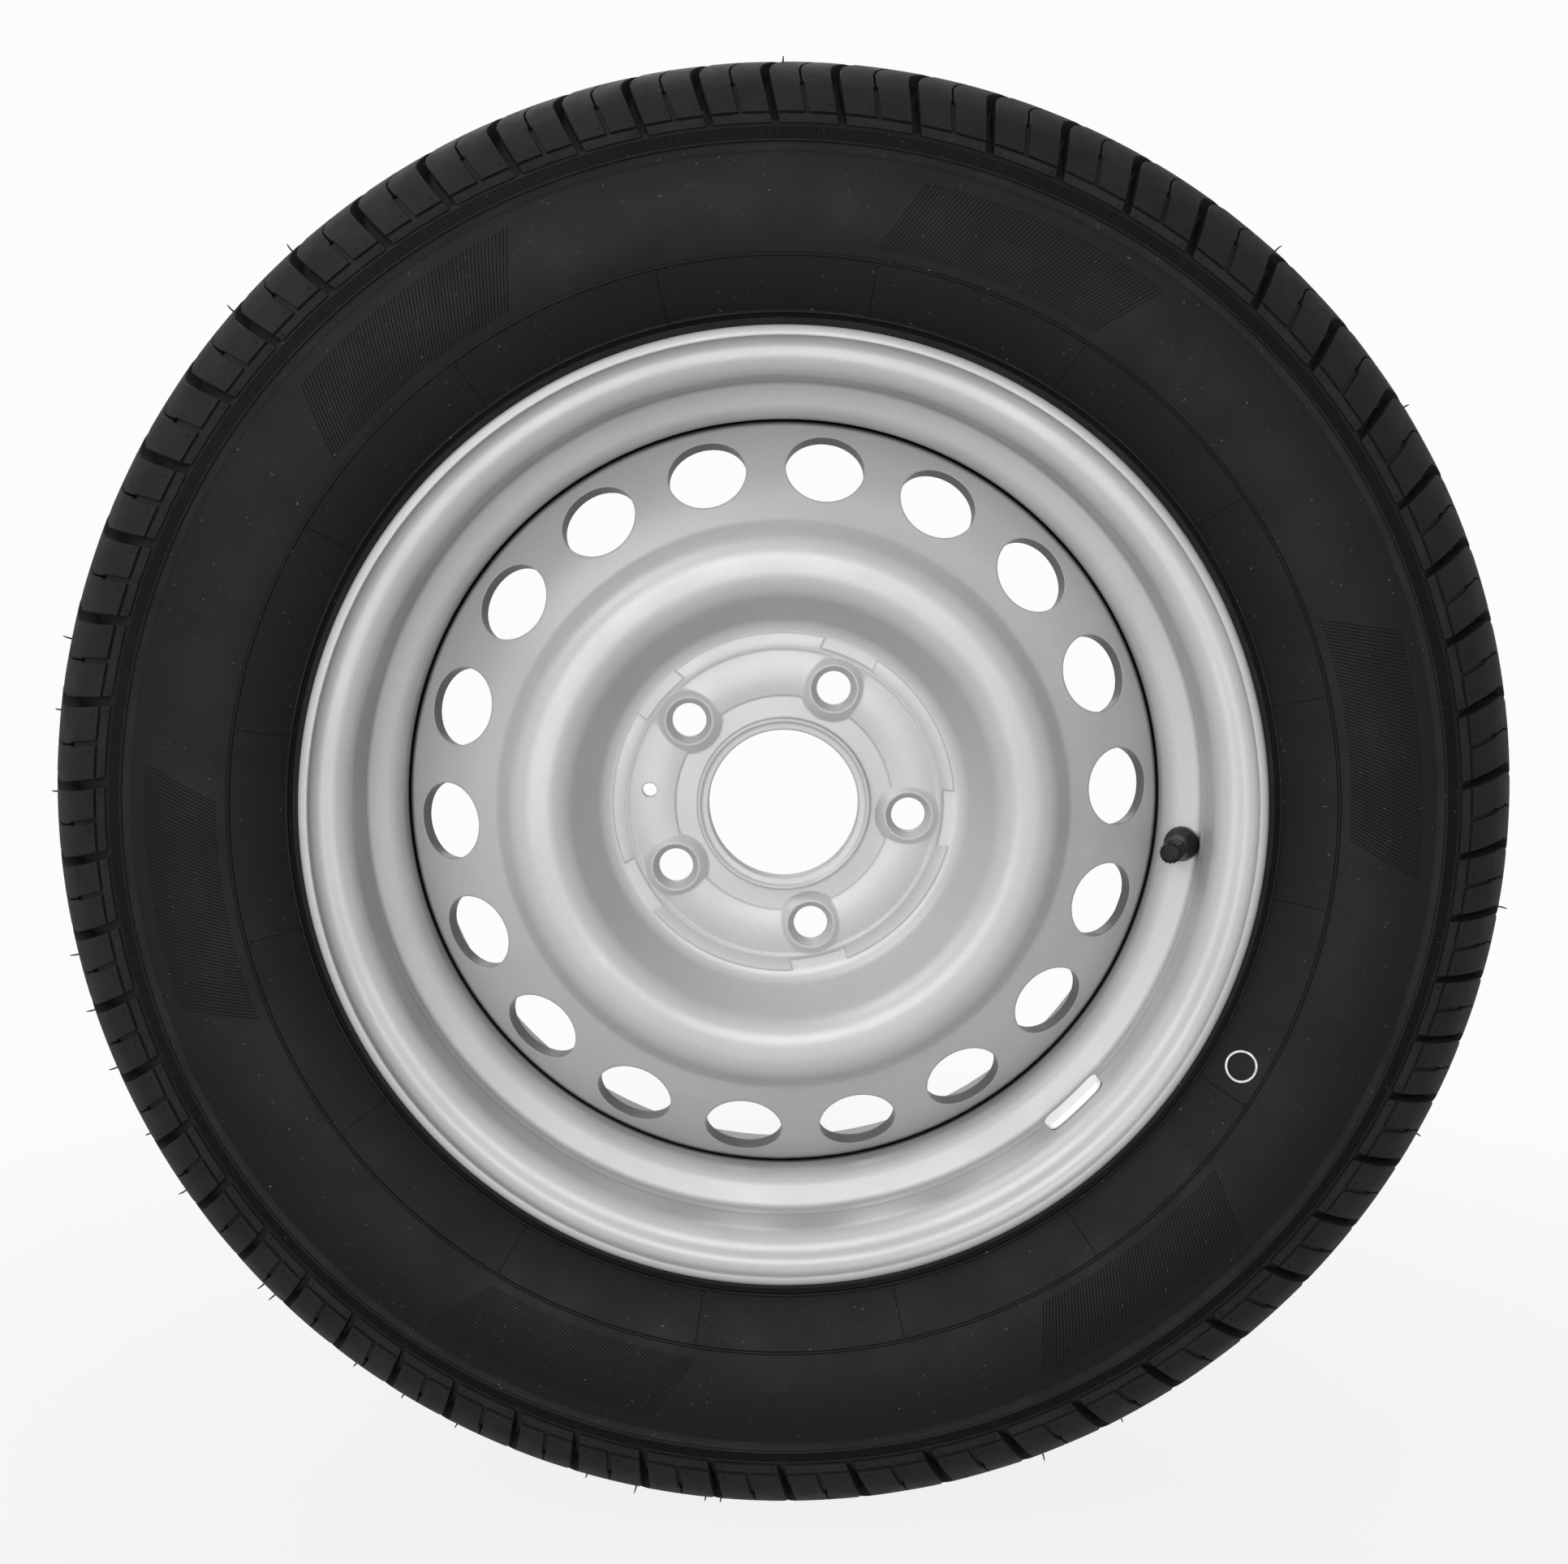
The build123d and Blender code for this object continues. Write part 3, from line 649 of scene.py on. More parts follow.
def smooth_copy(node: str, finish: Finish, sharp: float = 28.0) -> bpy.types.Object:
    """Copy a CAD node and shade it smooth.

    Args:
        node: Node to copy.
        finish: Finish of the copy.
        sharp: Edges that bend by more than this many degrees stay crisp.

    Returns:
        The copy.
    """
    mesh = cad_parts[node].data.copy()
    mesh.attributes.remove(mesh.attributes["custom_normal"])
    tidy_mesh(mesh, sharp, MERGE)
    mesh.materials.clear()
    mesh.materials.append(finish.material())
    piece = bpy.data.objects.new(f"{node}_surface", mesh)
    bpy.context.scene.collection.objects.link(piece)
    return piece


def smoothed(node: str, finish: Finish, body: Body, slot: Slot) -> None:
    """Stand a smooth-shaded copy in for a CAD node, on its body."""
    keep(smooth_copy(node, finish), body, slot, node)


@dataclass(frozen=True)
class Row:
    """A place on the tyre's section, with the direction that leads out of the rubber."""

    radius: float
    reach: float
    out: SectionPoint

    def at(self, turn: float, lift: float = 0.0) -> Point:
        """Give the outboard point at a turn, lifted off the surface."""
        radius = self.radius + self.out[0] * lift
        return (radius * sin(turn), -(self.reach + self.out[1] * lift), radius * cos(turn))


Along = Callable[[Row], float]


@dataclass(frozen=True)
class TyreSection:
    """The outside of the tyre's section: tread arc, shoulder arc and sidewall arc."""

    crown_radius: float = 320.6 * MM
    tread_reach: float = 58.5 * MM
    crown_drop: float = 3.8 * MM
    shoulder: SectionPoint = (292.5 * MM, 87.6 * MM)
    shoulder_curve: float = 44 * MM
    belly: SectionPoint = (258 * MM, 92.6 * MM)
    belly_curve: float = 76.7 * MM

    def crown_row(self, reach: float) -> Row:
        """Find a row of the tread arc.

        Args:
            reach: Reach of the row.

        Returns:
            The row.
        """
        curve = (self.tread_reach**2 + self.crown_drop**2) / (2 * self.crown_drop)
        rise = sqrt(curve**2 - reach**2)
        return Row(self.crown_radius - curve + rise, reach, (rise / curve, reach / curve))

    def belly_row(self, radius: float) -> Row:
        """Find a row of the sidewall arc.

        Args:
            radius: Radius of the row.

        Returns:
            The row.
        """
        up = radius - self.belly[0]
        across = sqrt(self.belly_curve**2 - up**2)
        reach = self.belly[1] - self.belly_curve + across
        return Row(radius, reach, (up / self.belly_curve, across / self.belly_curve))

    def shoulder_row(self, share: float) -> Row:
        """Find a row of the shoulder arc.

        Args:
            share: 0 at the tread's edge, 1 at the blocks' lower edge.

        Returns:
            The row.
        """
        start = (self.crown_radius - self.crown_drop, self.tread_reach)
        run = (self.shoulder[0] - start[0], self.shoulder[1] - start[1])
        chord = hypot(*run)
        sag = sqrt(self.shoulder_curve**2 - (chord / 2) ** 2)
        centre = (
            (start[0] + self.shoulder[0]) / 2 - run[1] / chord * sag,
            (start[1] + self.shoulder[1]) / 2 + run[0] / chord * sag,
        )
        first = atan2(start[1] - centre[1], start[0] - centre[0])
        last = atan2(self.shoulder[1] - centre[1], self.shoulder[0] - centre[0])
        angle = first + (last - first) * share
        out = (cos(angle), sin(angle))
        return Row(centre[0] + self.shoulder_curve * out[0], centre[1] + self.shoulder_curve * out[1], out)


@dataclass(frozen=True)
class Ridge:
    """Sizes of a thin moulded ridge that runs up the sidewall.

    The foot and the top are lifts off the sidewall, and the lean is a sideways run for each unit of radius.
    """

    radii_mm: Numbers
    half_width: float
    foot: float
    top: float
    lean: float = 0.0


@dataclass
class Tyre:
    """The tyre: a carcass with its sidewall rings, the tread's blocks and the fine moulded detail."""

    section: TyreSection = TyreSection()
    segments: int = 360
    carcass_crisp: float = 26.0
    tread_crisp: float = 24.0
    # The carcass, from the tread's middle round to its inside, as radius and reach, or on a wall as radius
    # and lift. A slot's floor is given as a drop and a reach, and a ring follows each wall but the last.
    groove_floor_mm: Numbers = (0, 8, 17, 25, 33, 41.5)
    slot_floor_mm: SectionPoints = ((0, 47), (0, 56), (-1.2, 60))
    shoulder_floor_mm: SectionPoints = ((300, 71), (290.2, 82.9), (288.9, 84.6), (288.6, 86))
    walls_mm: tuple[SectionPoints, ...] = (
        ((288.2, 0), (286.7, 0), (286.4, -0.3), (284, -0.3), (281.7, -0.3)),
        (
            *((279.5, -0.3), (278, -0.9), (276.3, -1.8), (275.7, -1.8), (275.3, 0)),
            *((radius, 0) for radius in (272, 268, 264, 260, 256, 252, 248, 244, 240, 237.5)),
        ),
        tuple((radius, 0) for radius in (231.5, 228, 224, 220, 216.5)),
        ((210.6, 0),),
    )
    rings: Numbers = (280.7 * MM, 235.4 * MM, 213.0 * MM)
    ring_height: float = 0.9 * MM
    ring_width: float = 1.6 * MM
    ring_profile: SectionPoints = (
        (1, 0), (0.6, 0.75), (0.25, 1), (-0.25, 1), (-0.6, 0.75), (-1, 0),
    )
    flange_arc: Arc = ((197.9 * MM, 79.35 * MM), 9.7 * MM, -22.6, -90, 6)
    seat_arc: Arc = ((196.6 * MM, 63.35 * MM), 6.3 * MM, 90, 172, 5)
    toe_mm: SectionPoints = ((188.8, 51.3), (198.7, 51.3), (207.4, 60.6))
    liner: TyreSection = TyreSection(belly=(258 * MM, 85 * MM), belly_curve=69.1 * MM)
    liner_mm: Numbers = (222, 235, 248, 258, 268, 278, 288, 295)
    liner_crown_mm: SectionPoints = ((301.5, 62), (304.1, 50), (304.1, 0))
    # The grooves, the leaning slots between the blocks, and the hook of a slot on the tread.
    groove_depth: float = 7.6 * MM
    groove_width: float = 9 * MM
    groove_reaches: tuple[float, float] = (12.5 * MM, 37 * MM)
    slot_depth: float = 6.5 * MM
    slot_top: float = 4.4 * MM
    slot_foot: float = 3.6 * MM
    slot_lean: float = radians(12)
    slot_head: float = 310 * MM
    slot_middle: float = 302.9 * MM
    slot_end: float = 289 * MM
    hook_reach: float = 72 * MM
    hook_rate: float = 45.0
    hook_end: float = 9 * MM
    # The blocks of one pitch. Shares run down the shoulder arc.
    block_base: float = 9 * MM
    edge_round: float = 0.35 * MM
    foot_lift: float = 0.3 * MM
    crown_steps: Numbers = (0.0, 6 * MM, 12 * MM)
    upper_shares: Numbers = (0.1, 0.2, 0.32, 0.45)
    lower_shares: Numbers = (0.66, 0.76, 0.87, 0.965, 1.0)
    sipe_width: float = 0.8 * MM
    notch_width: float = 2.1 * MM
    notch_depth: float = 1.7 * MM
    notch_floor: float = 0.7
    notch_top: float = 0.58
    notch_step: float = 0.012
    pad_mm: SectionPoints = (
        (291.9, 86.9), (291.5, 87.3), (289.8, 87.3), (288.2, 87.1), (287.8, 86.6),
    )
    pad_out: SectionPoint = (0.25, 0.97)
    # The nubs of one pitch: half pitches and a distance clockwise, then the radius and height of each.
    block_nubs: SectionPoints = ((0.0, -3.6 * MM), (1.0, -4.6 * MM))
    block_nub_share: float = 0.9
    pad_nubs: SectionPoints = ((-1.0, 4.2 * MM), (1.0, -4.2 * MM))
    nub: tuple[float, float] = (0.75 * MM, 0.3 * MM)
    nub_root: float = 0.4 * MM
    nub_corners: int = 8
    # The ribs between the grooves, cut by slanted sipes. Shares run across a rib.
    rib_shares: Numbers = (0, 0.06, 0.35, 0.65, 0.94, 1)
    rib_gap: float = 0.5 * MM
    rib_slant: float = 0.55
    rib_middle: float = 25 * MM
    centre_shares: Numbers = (-1, -0.93, -0.4, 0.4, 0.93, 1)
    centre_gap: float = 0.35 * MM
    centre_slant: float = -0.5
    # The runs of pitches round the tyre: how many, and which of the three lengths in degrees.
    pitches: tuple[float, float, float] = (5.37, 6.10, 6.90)
    first_slot: float = 4.2
    pitch_runs: tuple[tuple[int, int], ...] = (
        (5, 1), (4, 2), (5, 1), (4, 0), (3, 1), (6, 2), (4, 1),
        (1, 0), (1, 1), (5, 0), (6, 1), (5, 2), (5, 1), (5, 0),
    )
    # The hairs: a share down the shoulder, a turn in degrees and a length. A profile gives size and height.
    hairs: tuple[tuple[float, float, float], ...] = ((0.03, 0.0, 2.4 * MM), (0.06, 41.0, 3.8 * MM))
    hair_radius: float = 0.4 * MM
    hair_profile: SectionPoints = ((1.0, -0.3), (0.9, 0.4), (0.75, 0.75), (0.3, 1.0))
    hair_bend: float = 0.12
    hair_corners: int = 5
    hair_count: int = 13
    hair_seed: int = 5
    # The fine moulded detail of the sidewall, and the ink mark.
    serration: Ridge = Ridge((281.7, 284, 286.4), 0.4 * MM, -0.4 * MM, 0.2 * MM)
    serrations: int = 1610
    tooth_radii: tuple[float, float] = (275.2 * MM, 276.5 * MM)
    tooth_half: float = 0.8 * MM
    tooth_lifts: tuple[float, float] = (-2.1 * MM, 0.02 * MM)
    teeth: int = 1080
    panel_rib: Ridge = Ridge((240, 246, 252, 258, 264, 270), 0.42 * MM, -0.3 * MM, 0.32 * MM, 0.5)
    panel_ribs: int = 64
    panels: int = 6
    panel_step: float = radians(0.36)
    panel_start: float = radians(11)
    mould_line: Ridge = Ridge((214.2, 219, 224, 229, 234.4), 0.4 * MM, -0.3 * MM, 0.3 * MM)
    mould_lines: int = 16
    mould_start: float = radians(9.5)
    mould_nub_radii: Numbers = (214.6 * MM, 234 * MM, 281 * MM)
    mould_nub_lift: float = 0.6 * MM
    mould_nub: tuple[float, float] = (0.8 * MM, 0.35 * MM)
    stamp_radius: float = 225 * MM
    stamp_turn: float = radians(118.6)
    stamp_profile_mm: SectionPoints = ((6.1, -0.1), (6.1, 0.06), (7.0, 0.06), (7.0, -0.1))
    stamp_corners: int = 48

    def build(self) -> None:
        """Build and dress every piece of the tyre."""
        carcass = turned(self.carcass_section(), self.segments)
        piece = carcass.piece("tyre_carcass", TYRE_RUBBER.material(), self.carcass_crisp)
        keep(piece, Body.WHEEL, Slot.TYRE, "tyre")
        self.build_tread()
        self.build_sidewall()

    def ring(self, radius: float) -> list[Row]:
        """Give the rows of one raised ring, from outside to inside, as rows already lifted."""
        half, height = self.ring_width / 2, self.ring_height
        return [self.lifted(radius + half * step, height * share) for step, share in self.ring_profile]

    def lifted(self, radius: float, lift: float) -> Row:
        """Give a row of the sidewall moved off the arc by a lift."""
        row = self.section.belly_row(radius)
        return Row(row.radius + row.out[0] * lift, row.reach + row.out[1] * lift, row.out)

    def carcass_section(self) -> list[SectionPoint]:
        """Work out the closed section under the blocks.

        Returns:
            Radius and Y of each corner, once round.
        """
        crown = [self.section.crown_row(reach * MM) for reach in self.groove_floor_mm]
        half = [(row.radius - self.groove_depth, row.reach) for row in crown]
        floor = self.section.crown_row(self.section.tread_reach).radius - self.slot_depth
        half += [(floor + drop, reach) for drop, reach in metres(self.slot_floor_mm)]
        half += metres(self.shoulder_floor_mm)
        rows: list[Row] = []
        for number, wall in enumerate(self.walls_mm):
            rows += [self.lifted(radius, lift) for radius, lift in metres(wall)]
            for radius in self.rings[number : number + 1]:
                rows += self.ring(radius)
        half += [(row.radius, row.reach) for row in rows]
        half += arc(*self.flange_arc) + arc(*self.seat_arc) + metres(self.toe_mm)
        half += [(r * MM, self.liner.belly_row(r * MM).reach) for r in self.liner_mm]
        half += metres(self.liner_crown_mm)
        outboard = [(r, -reach) for r, reach in half]
        return outboard + half[-2:0:-1]

    def shift(self, row: Row) -> float:
        """Find how far a slot has moved clockwise at a row, by its lean and its hook on the tread.

        Args:
            row: The row.

        Returns:
            The distance.
        """
        run = max(0.0, self.hook_reach - row.reach)
        bent = min(run, self.hook_end)
        hook = self.hook_rate * bent * (2 * run - bent)
        return (self.slot_middle - row.radius) * tan(self.slot_lean) + hook

    def slab(
        self, rows: Sequence[Row], left: Along, right: Along, lift: Along = lambda row: 0.0
    ) -> Shape:
        """Build a block of tread over rows of the section.

        Args:
            rows: Rows from the tread's middle outwards.
            left: Turn of the block's left edge at a row.
            right: Turn of its right edge.
            lift: How far the block's face is lifted at a row.

        Returns:
            The closed block, with its base inside the carcass.
        """
        rings = []
        for row in rows:
            a, b, top = left(row), right(row), lift(row)
            ease = self.edge_round / row.radius
            places = (
                (a, -self.block_base),
                (a, top - self.edge_round),
                (a + ease, top),
                ((a + b) / 2, top),
                (b - ease, top),
                (b, top - self.edge_round),
                (b, -self.block_base),
            )
            rings.append([row.at(turn, height) for turn, height in places])
        return Shape.skinned(rings)

    def dot(self, row: Row, turn: float, radius: float, height: float) -> Shape:
        """Build a small round nub, as a trimmed mould vent leaves.

        Args:
            row: Place on the section.
            turn: Place round the wheel.
            radius: Radius of the nub.
            height: Height of the nub.

        Returns:
            The closed nub.
        """
        along = (row.out[1], -row.out[0])
        rings = []
        for share, lift in ((1.0, -self.nub_root), (1.0, height * 0.6), (0.55, height)):
            ring = []
            for c, s in circle(self.nub_corners):
                across, down = radius * share * c, radius * share * s
                moved = Row(row.radius + along[0] * down, row.reach + along[1] * down, row.out)
                ring.append(moved.at(turn + across / row.radius, lift))
            rings.append(ring)
        return Shape.skinned(rings)

    def pitch_template(self) -> Shape:
        """Build one pitch of the tread: the blocks and the pad of both shoulders, and the ribs.

        Returns:
            The pitch on both sides of the tyre, centred on the top.
        """
        half_pitch = radians(self.pitches[1]) / 2
        whole = self.shoulder_blocks(half_pitch)

        def sipe(start: float, gap: float, slant: float, middle: float = 0.0) -> Along:
            """Set out a rib's edge along a slanted sipe.

            Args:
                start: Turn of the sipe at its middle.
                gap: Distance from the sipe to the edge, clockwise.
                slant: Run clockwise for each unit of reach.
                middle: Reach of the sipe's middle.

            Returns:
                The edge's turn at a row.
            """
            return lambda row: start + (gap + (row.reach - middle) * slant) / row.radius

        def ends_eased(rows: Sequence[Row]) -> Along:
            """Give the lift of a rib whose first and last rows are rounded off."""
            return lambda row: -self.edge_round if row in (rows[0], rows[-1]) else 0.0

        inner = self.groove_reaches[0] + self.groove_width / 2
        outer = self.groove_reaches[1] - self.groove_width / 2
        ribs = [self.section.crown_row(inner + (outer - inner) * share) for share in self.rib_shares]
        for start in (-half_pitch, 0.0):
            left = sipe(start, self.rib_gap, self.rib_slant, self.rib_middle)
            right = sipe(start + half_pitch, -self.rib_gap, self.rib_slant, self.rib_middle)
            whole.join(self.slab(ribs, left, right, ends_eased(ribs)))
        both = whole.with_other_side()
        edge = self.groove_reaches[0] - self.groove_width / 2
        centre = [self.section.crown_row(edge * share) for share in self.centre_shares]
        left = sipe(-half_pitch, self.centre_gap, self.centre_slant)
        right = sipe(half_pitch, -self.centre_gap, self.centre_slant)
        both.join(self.slab(centre, left, right, ends_eased(centre)))
        return both

    def shoulder_blocks(self, half_pitch: float) -> Shape:
        """Build the outboard shoulder of one pitch: two blocks with their notch, the pad below, and nubs.

        Args:
            half_pitch: Half of the pitch, in radians.

        Returns:
            The closed blocks and nubs, centred on the top.
        """
        inner = self.groove_reaches[1] + self.groove_width / 2
        reaches = (*(inner + step for step in self.crown_steps), self.section.tread_reach)
        upper = [self.section.crown_row(reach) for reach in reaches]
        upper += [self.section.shoulder_row(share) for share in (*self.upper_shares, self.notch_top)]
        shares = (self.notch_top + self.notch_step, *self.lower_shares)
        lower = [self.section.shoulder_row(share) for share in shares]
        pad = [Row(radius, reach, self.pad_out) for radius, reach in metres(self.pad_mm)]
        floor_half = self.notch_width * self.notch_floor

        def slot_half(row: Row) -> float:
            """Give half the slot's width at a row."""
            share = min(1.0, max(0.0, (row.radius - self.slot_end) / (self.slot_head - self.slot_end)))
            return (self.slot_foot + (self.slot_top - self.slot_foot) * share) / 2

        def gap_half(row: Row) -> float:
            """Give half the gap between the two blocks at a row."""
            return (self.sipe_width if row in upper else self.notch_width) / 2

        def foot_lift(row: Row) -> float:
            """Give the lift of the blocks' lower edge."""
            return self.foot_lift if row is lower[-1] else 0.0

        def edge(start: float, away: Along) -> Along:
            """Give the turn of an edge that leans with the slots, set away clockwise from its start."""
            return lambda row: start + (self.shift(row) + away(row)) / row.radius

        whole = Shape()
        for rows, left, right, lift in (
            (upper + lower, edge(-half_pitch, slot_half), edge(0.0, lambda row: -gap_half(row)), foot_lift),
            (upper + lower, edge(0.0, gap_half), edge(half_pitch, lambda row: -slot_half(row)), foot_lift),
            (
                lower,
                edge(0.0, lambda row: -floor_half),
                edge(0.0, lambda row: floor_half),
                lambda row: -self.notch_depth,
            ),
            (
                pad,
                edge(-half_pitch, lambda row: self.slot_foot / 2),
                edge(half_pitch, lambda row: -self.slot_foot / 2),
                lambda row: 0.0,
            ),
        ):
            whole.join(self.slab(rows, left, right, lift))
        block_row = self.section.shoulder_row(self.block_nub_share)
        for row, nubs in ((block_row, self.block_nubs), (pad[len(pad) // 2], self.pad_nubs)):
            for halves, away in nubs:
                turn = half_pitch * halves + (self.shift(row) + away) / row.radius
                whole.join(self.dot(row, turn, *self.nub))
        return whole

    def pitch_points(self) -> bpy.types.Mesh:
        """Lay the pitches out in their uneven runs.

        Returns:
            A mesh with one point for each pitch, carrying its turn and its stretch.
        """
        lengths = [self.pitches[kind] for count, kind in self.pitch_runs for _ in range(count)]
        whole = 360 / sum(lengths)
        turn = self.first_slot
        turns, stretches = [], []
        for length in lengths:
            turns.append(radians(turn + length * whole / 2))
            stretches.append(length * whole / self.pitches[1])
            turn += length * whole
        mesh = bpy.data.meshes.new("tread_pitches")
        mesh.from_pydata([(0, 0, 0)] * len(turns), [], [])
        for name, values in (("turn", turns), ("stretch", stretches)):
            mesh.attributes.new(name, "FLOAT", "POINT").data.foreach_set("value", values)
        return mesh

    def build_tread(self) -> None:
        """Set the tread's pitches round the carcass, and the spew hairs that the mould's vents leave."""
        template, points = self.pitch_template(), self.pitch_points()
        tread = grow("tyre_tread", pitch_tree(), template, TREAD_RUBBER, points, self.tread_crisp)
        keep(tread, Body.WHEEL, Slot.TYRE)
        hairs = Shape()
        for share, away, length in self.hairs:
            hairs.join(self.hair(self.section.shoulder_row(share), radians(away), length))
        sizes = {"Count": self.hair_count, "Seed": self.hair_seed, "Least_Turn": 0.0}
        spews = grow("tyre_spew_hairs", scatter_tree(), hairs, TREAD_RUBBER, **sizes)
        keep(spews, Body.WHEEL, Slot.TYRE)

    def hair(self, root: Row, turn: float, length: float) -> Shape:
        """Build a thin, bent rubber hair.

        Args:
            root: Row that it grows from.
            turn: Place round the wheel.
            length: How far it stands out.

        Returns:
            The closed hair.
        """
        rings = []
        for size, height in self.hair_profile:
            bend = turn + self.hair_bend * length * max(0.0, height) ** 2 / root.radius
            ring = []
            for c, s in circle(self.hair_corners):
                spot = Row(root.radius, root.reach + self.hair_radius * size * s, root.out)
                ring.append(spot.at(bend + self.hair_radius * size * c / root.radius, length * height))
            rings.append(ring)
        return Shape.skinned(rings)

    def ridge(self, sizes: Ridge) -> Shape:
        """Build one thin ridge that runs up the sidewall.

        Args:
            sizes: Sizes of the ridge.

        Returns:
            The closed ridge on both sides of the tyre.
        """
        radii = [radius * MM for radius in sizes.radii_mm]
        middle = (radii[0] + radii[-1]) / 2
        places = ((-sizes.half_width, sizes.foot), (0.0, sizes.top), (sizes.half_width, sizes.foot))
        rings = []
        for radius in radii:
            row = self.section.belly_row(radius)
            away = (radius - middle) * sizes.lean
            rings.append([row.at((away + across) / radius, lift) for across, lift in places])
        return Shape.skinned(rings).with_other_side()

    def tooth(self) -> Shape:
        """Build one tooth of the saw edge.

        Returns:
            The closed tooth on both sides of the tyre.
        """
        low, high = (self.lifted(radius, 0.0) for radius in self.tooth_radii)
        half = self.tooth_half / low.radius
        rings = [[low.at(-half, lift), high.at(0.0, lift), low.at(half, lift)] for lift in self.tooth_lifts]
        return Shape.skinned(rings).with_other_side()

    def repeat(self, name: str, template: Shape, count: int, **places: float) -> None:
        """Set copies of a moulded detail round the sidewalls.

        Args:
            name: Name of the piece.
            template: The detail, on both sides of the tyre.
            count: Number of copies.
            **places: Inputs of the tree that differ from one even run of copies.
        """
        sizes = {"Count": count, "Group_Size": count, "Step": 2 * pi / count, **places}
        keep(grow(name, ring_tree(), template, TYRE_RUBBER, **sizes), Body.WHEEL, Slot.TYRE)

    def build_sidewall(self) -> None:
        """Add the fine moulded detail of both sidewalls, and the ink mark."""
        self.repeat("tyre_serration", self.ridge(self.serration), self.serrations)
        self.repeat("tyre_saw_edge", self.tooth(), self.teeth)
        self.repeat(
            "tyre_ribbed_panels",
            self.ridge(self.panel_rib),
            self.panel_ribs * self.panels,
            Group_Size=self.panel_ribs,
            Group_Step=2 * pi / self.panels,
            Step=self.panel_step,
            Start=self.panel_start,
        )
        line = self.ridge(self.mould_line)
        for radius in self.mould_nub_radii:
            row = self.lifted(radius, self.mould_nub_lift)
            line.join(self.dot(row, 0.0, *self.mould_nub).with_other_side())
        self.repeat("tyre_mould_lines", line, self.mould_lines, Start=self.mould_start)
        self.build_stamp()

    def build_stamp(self) -> None:
        """Print the round inspection stamp on the outboard sidewall."""
        slope = self.section.belly_row(self.stamp_radius).out[1]
        rings = []
        for c, s in circle(self.stamp_corners):
            ring = []
            for size, lift in metres(self.stamp_profile_mm):
                spot = self.section.belly_row(self.stamp_radius + size * s * slope)
                ring.append(spot.at(self.stamp_turn + size * c / self.stamp_radius, lift))
            rings.append(ring)
        stamp = Shape.skinned(rings, hoop=True)
        keep(stamp.piece("tyre_stamp", STAMP_INK.material()), Body.WHEEL, Slot.TYRE)


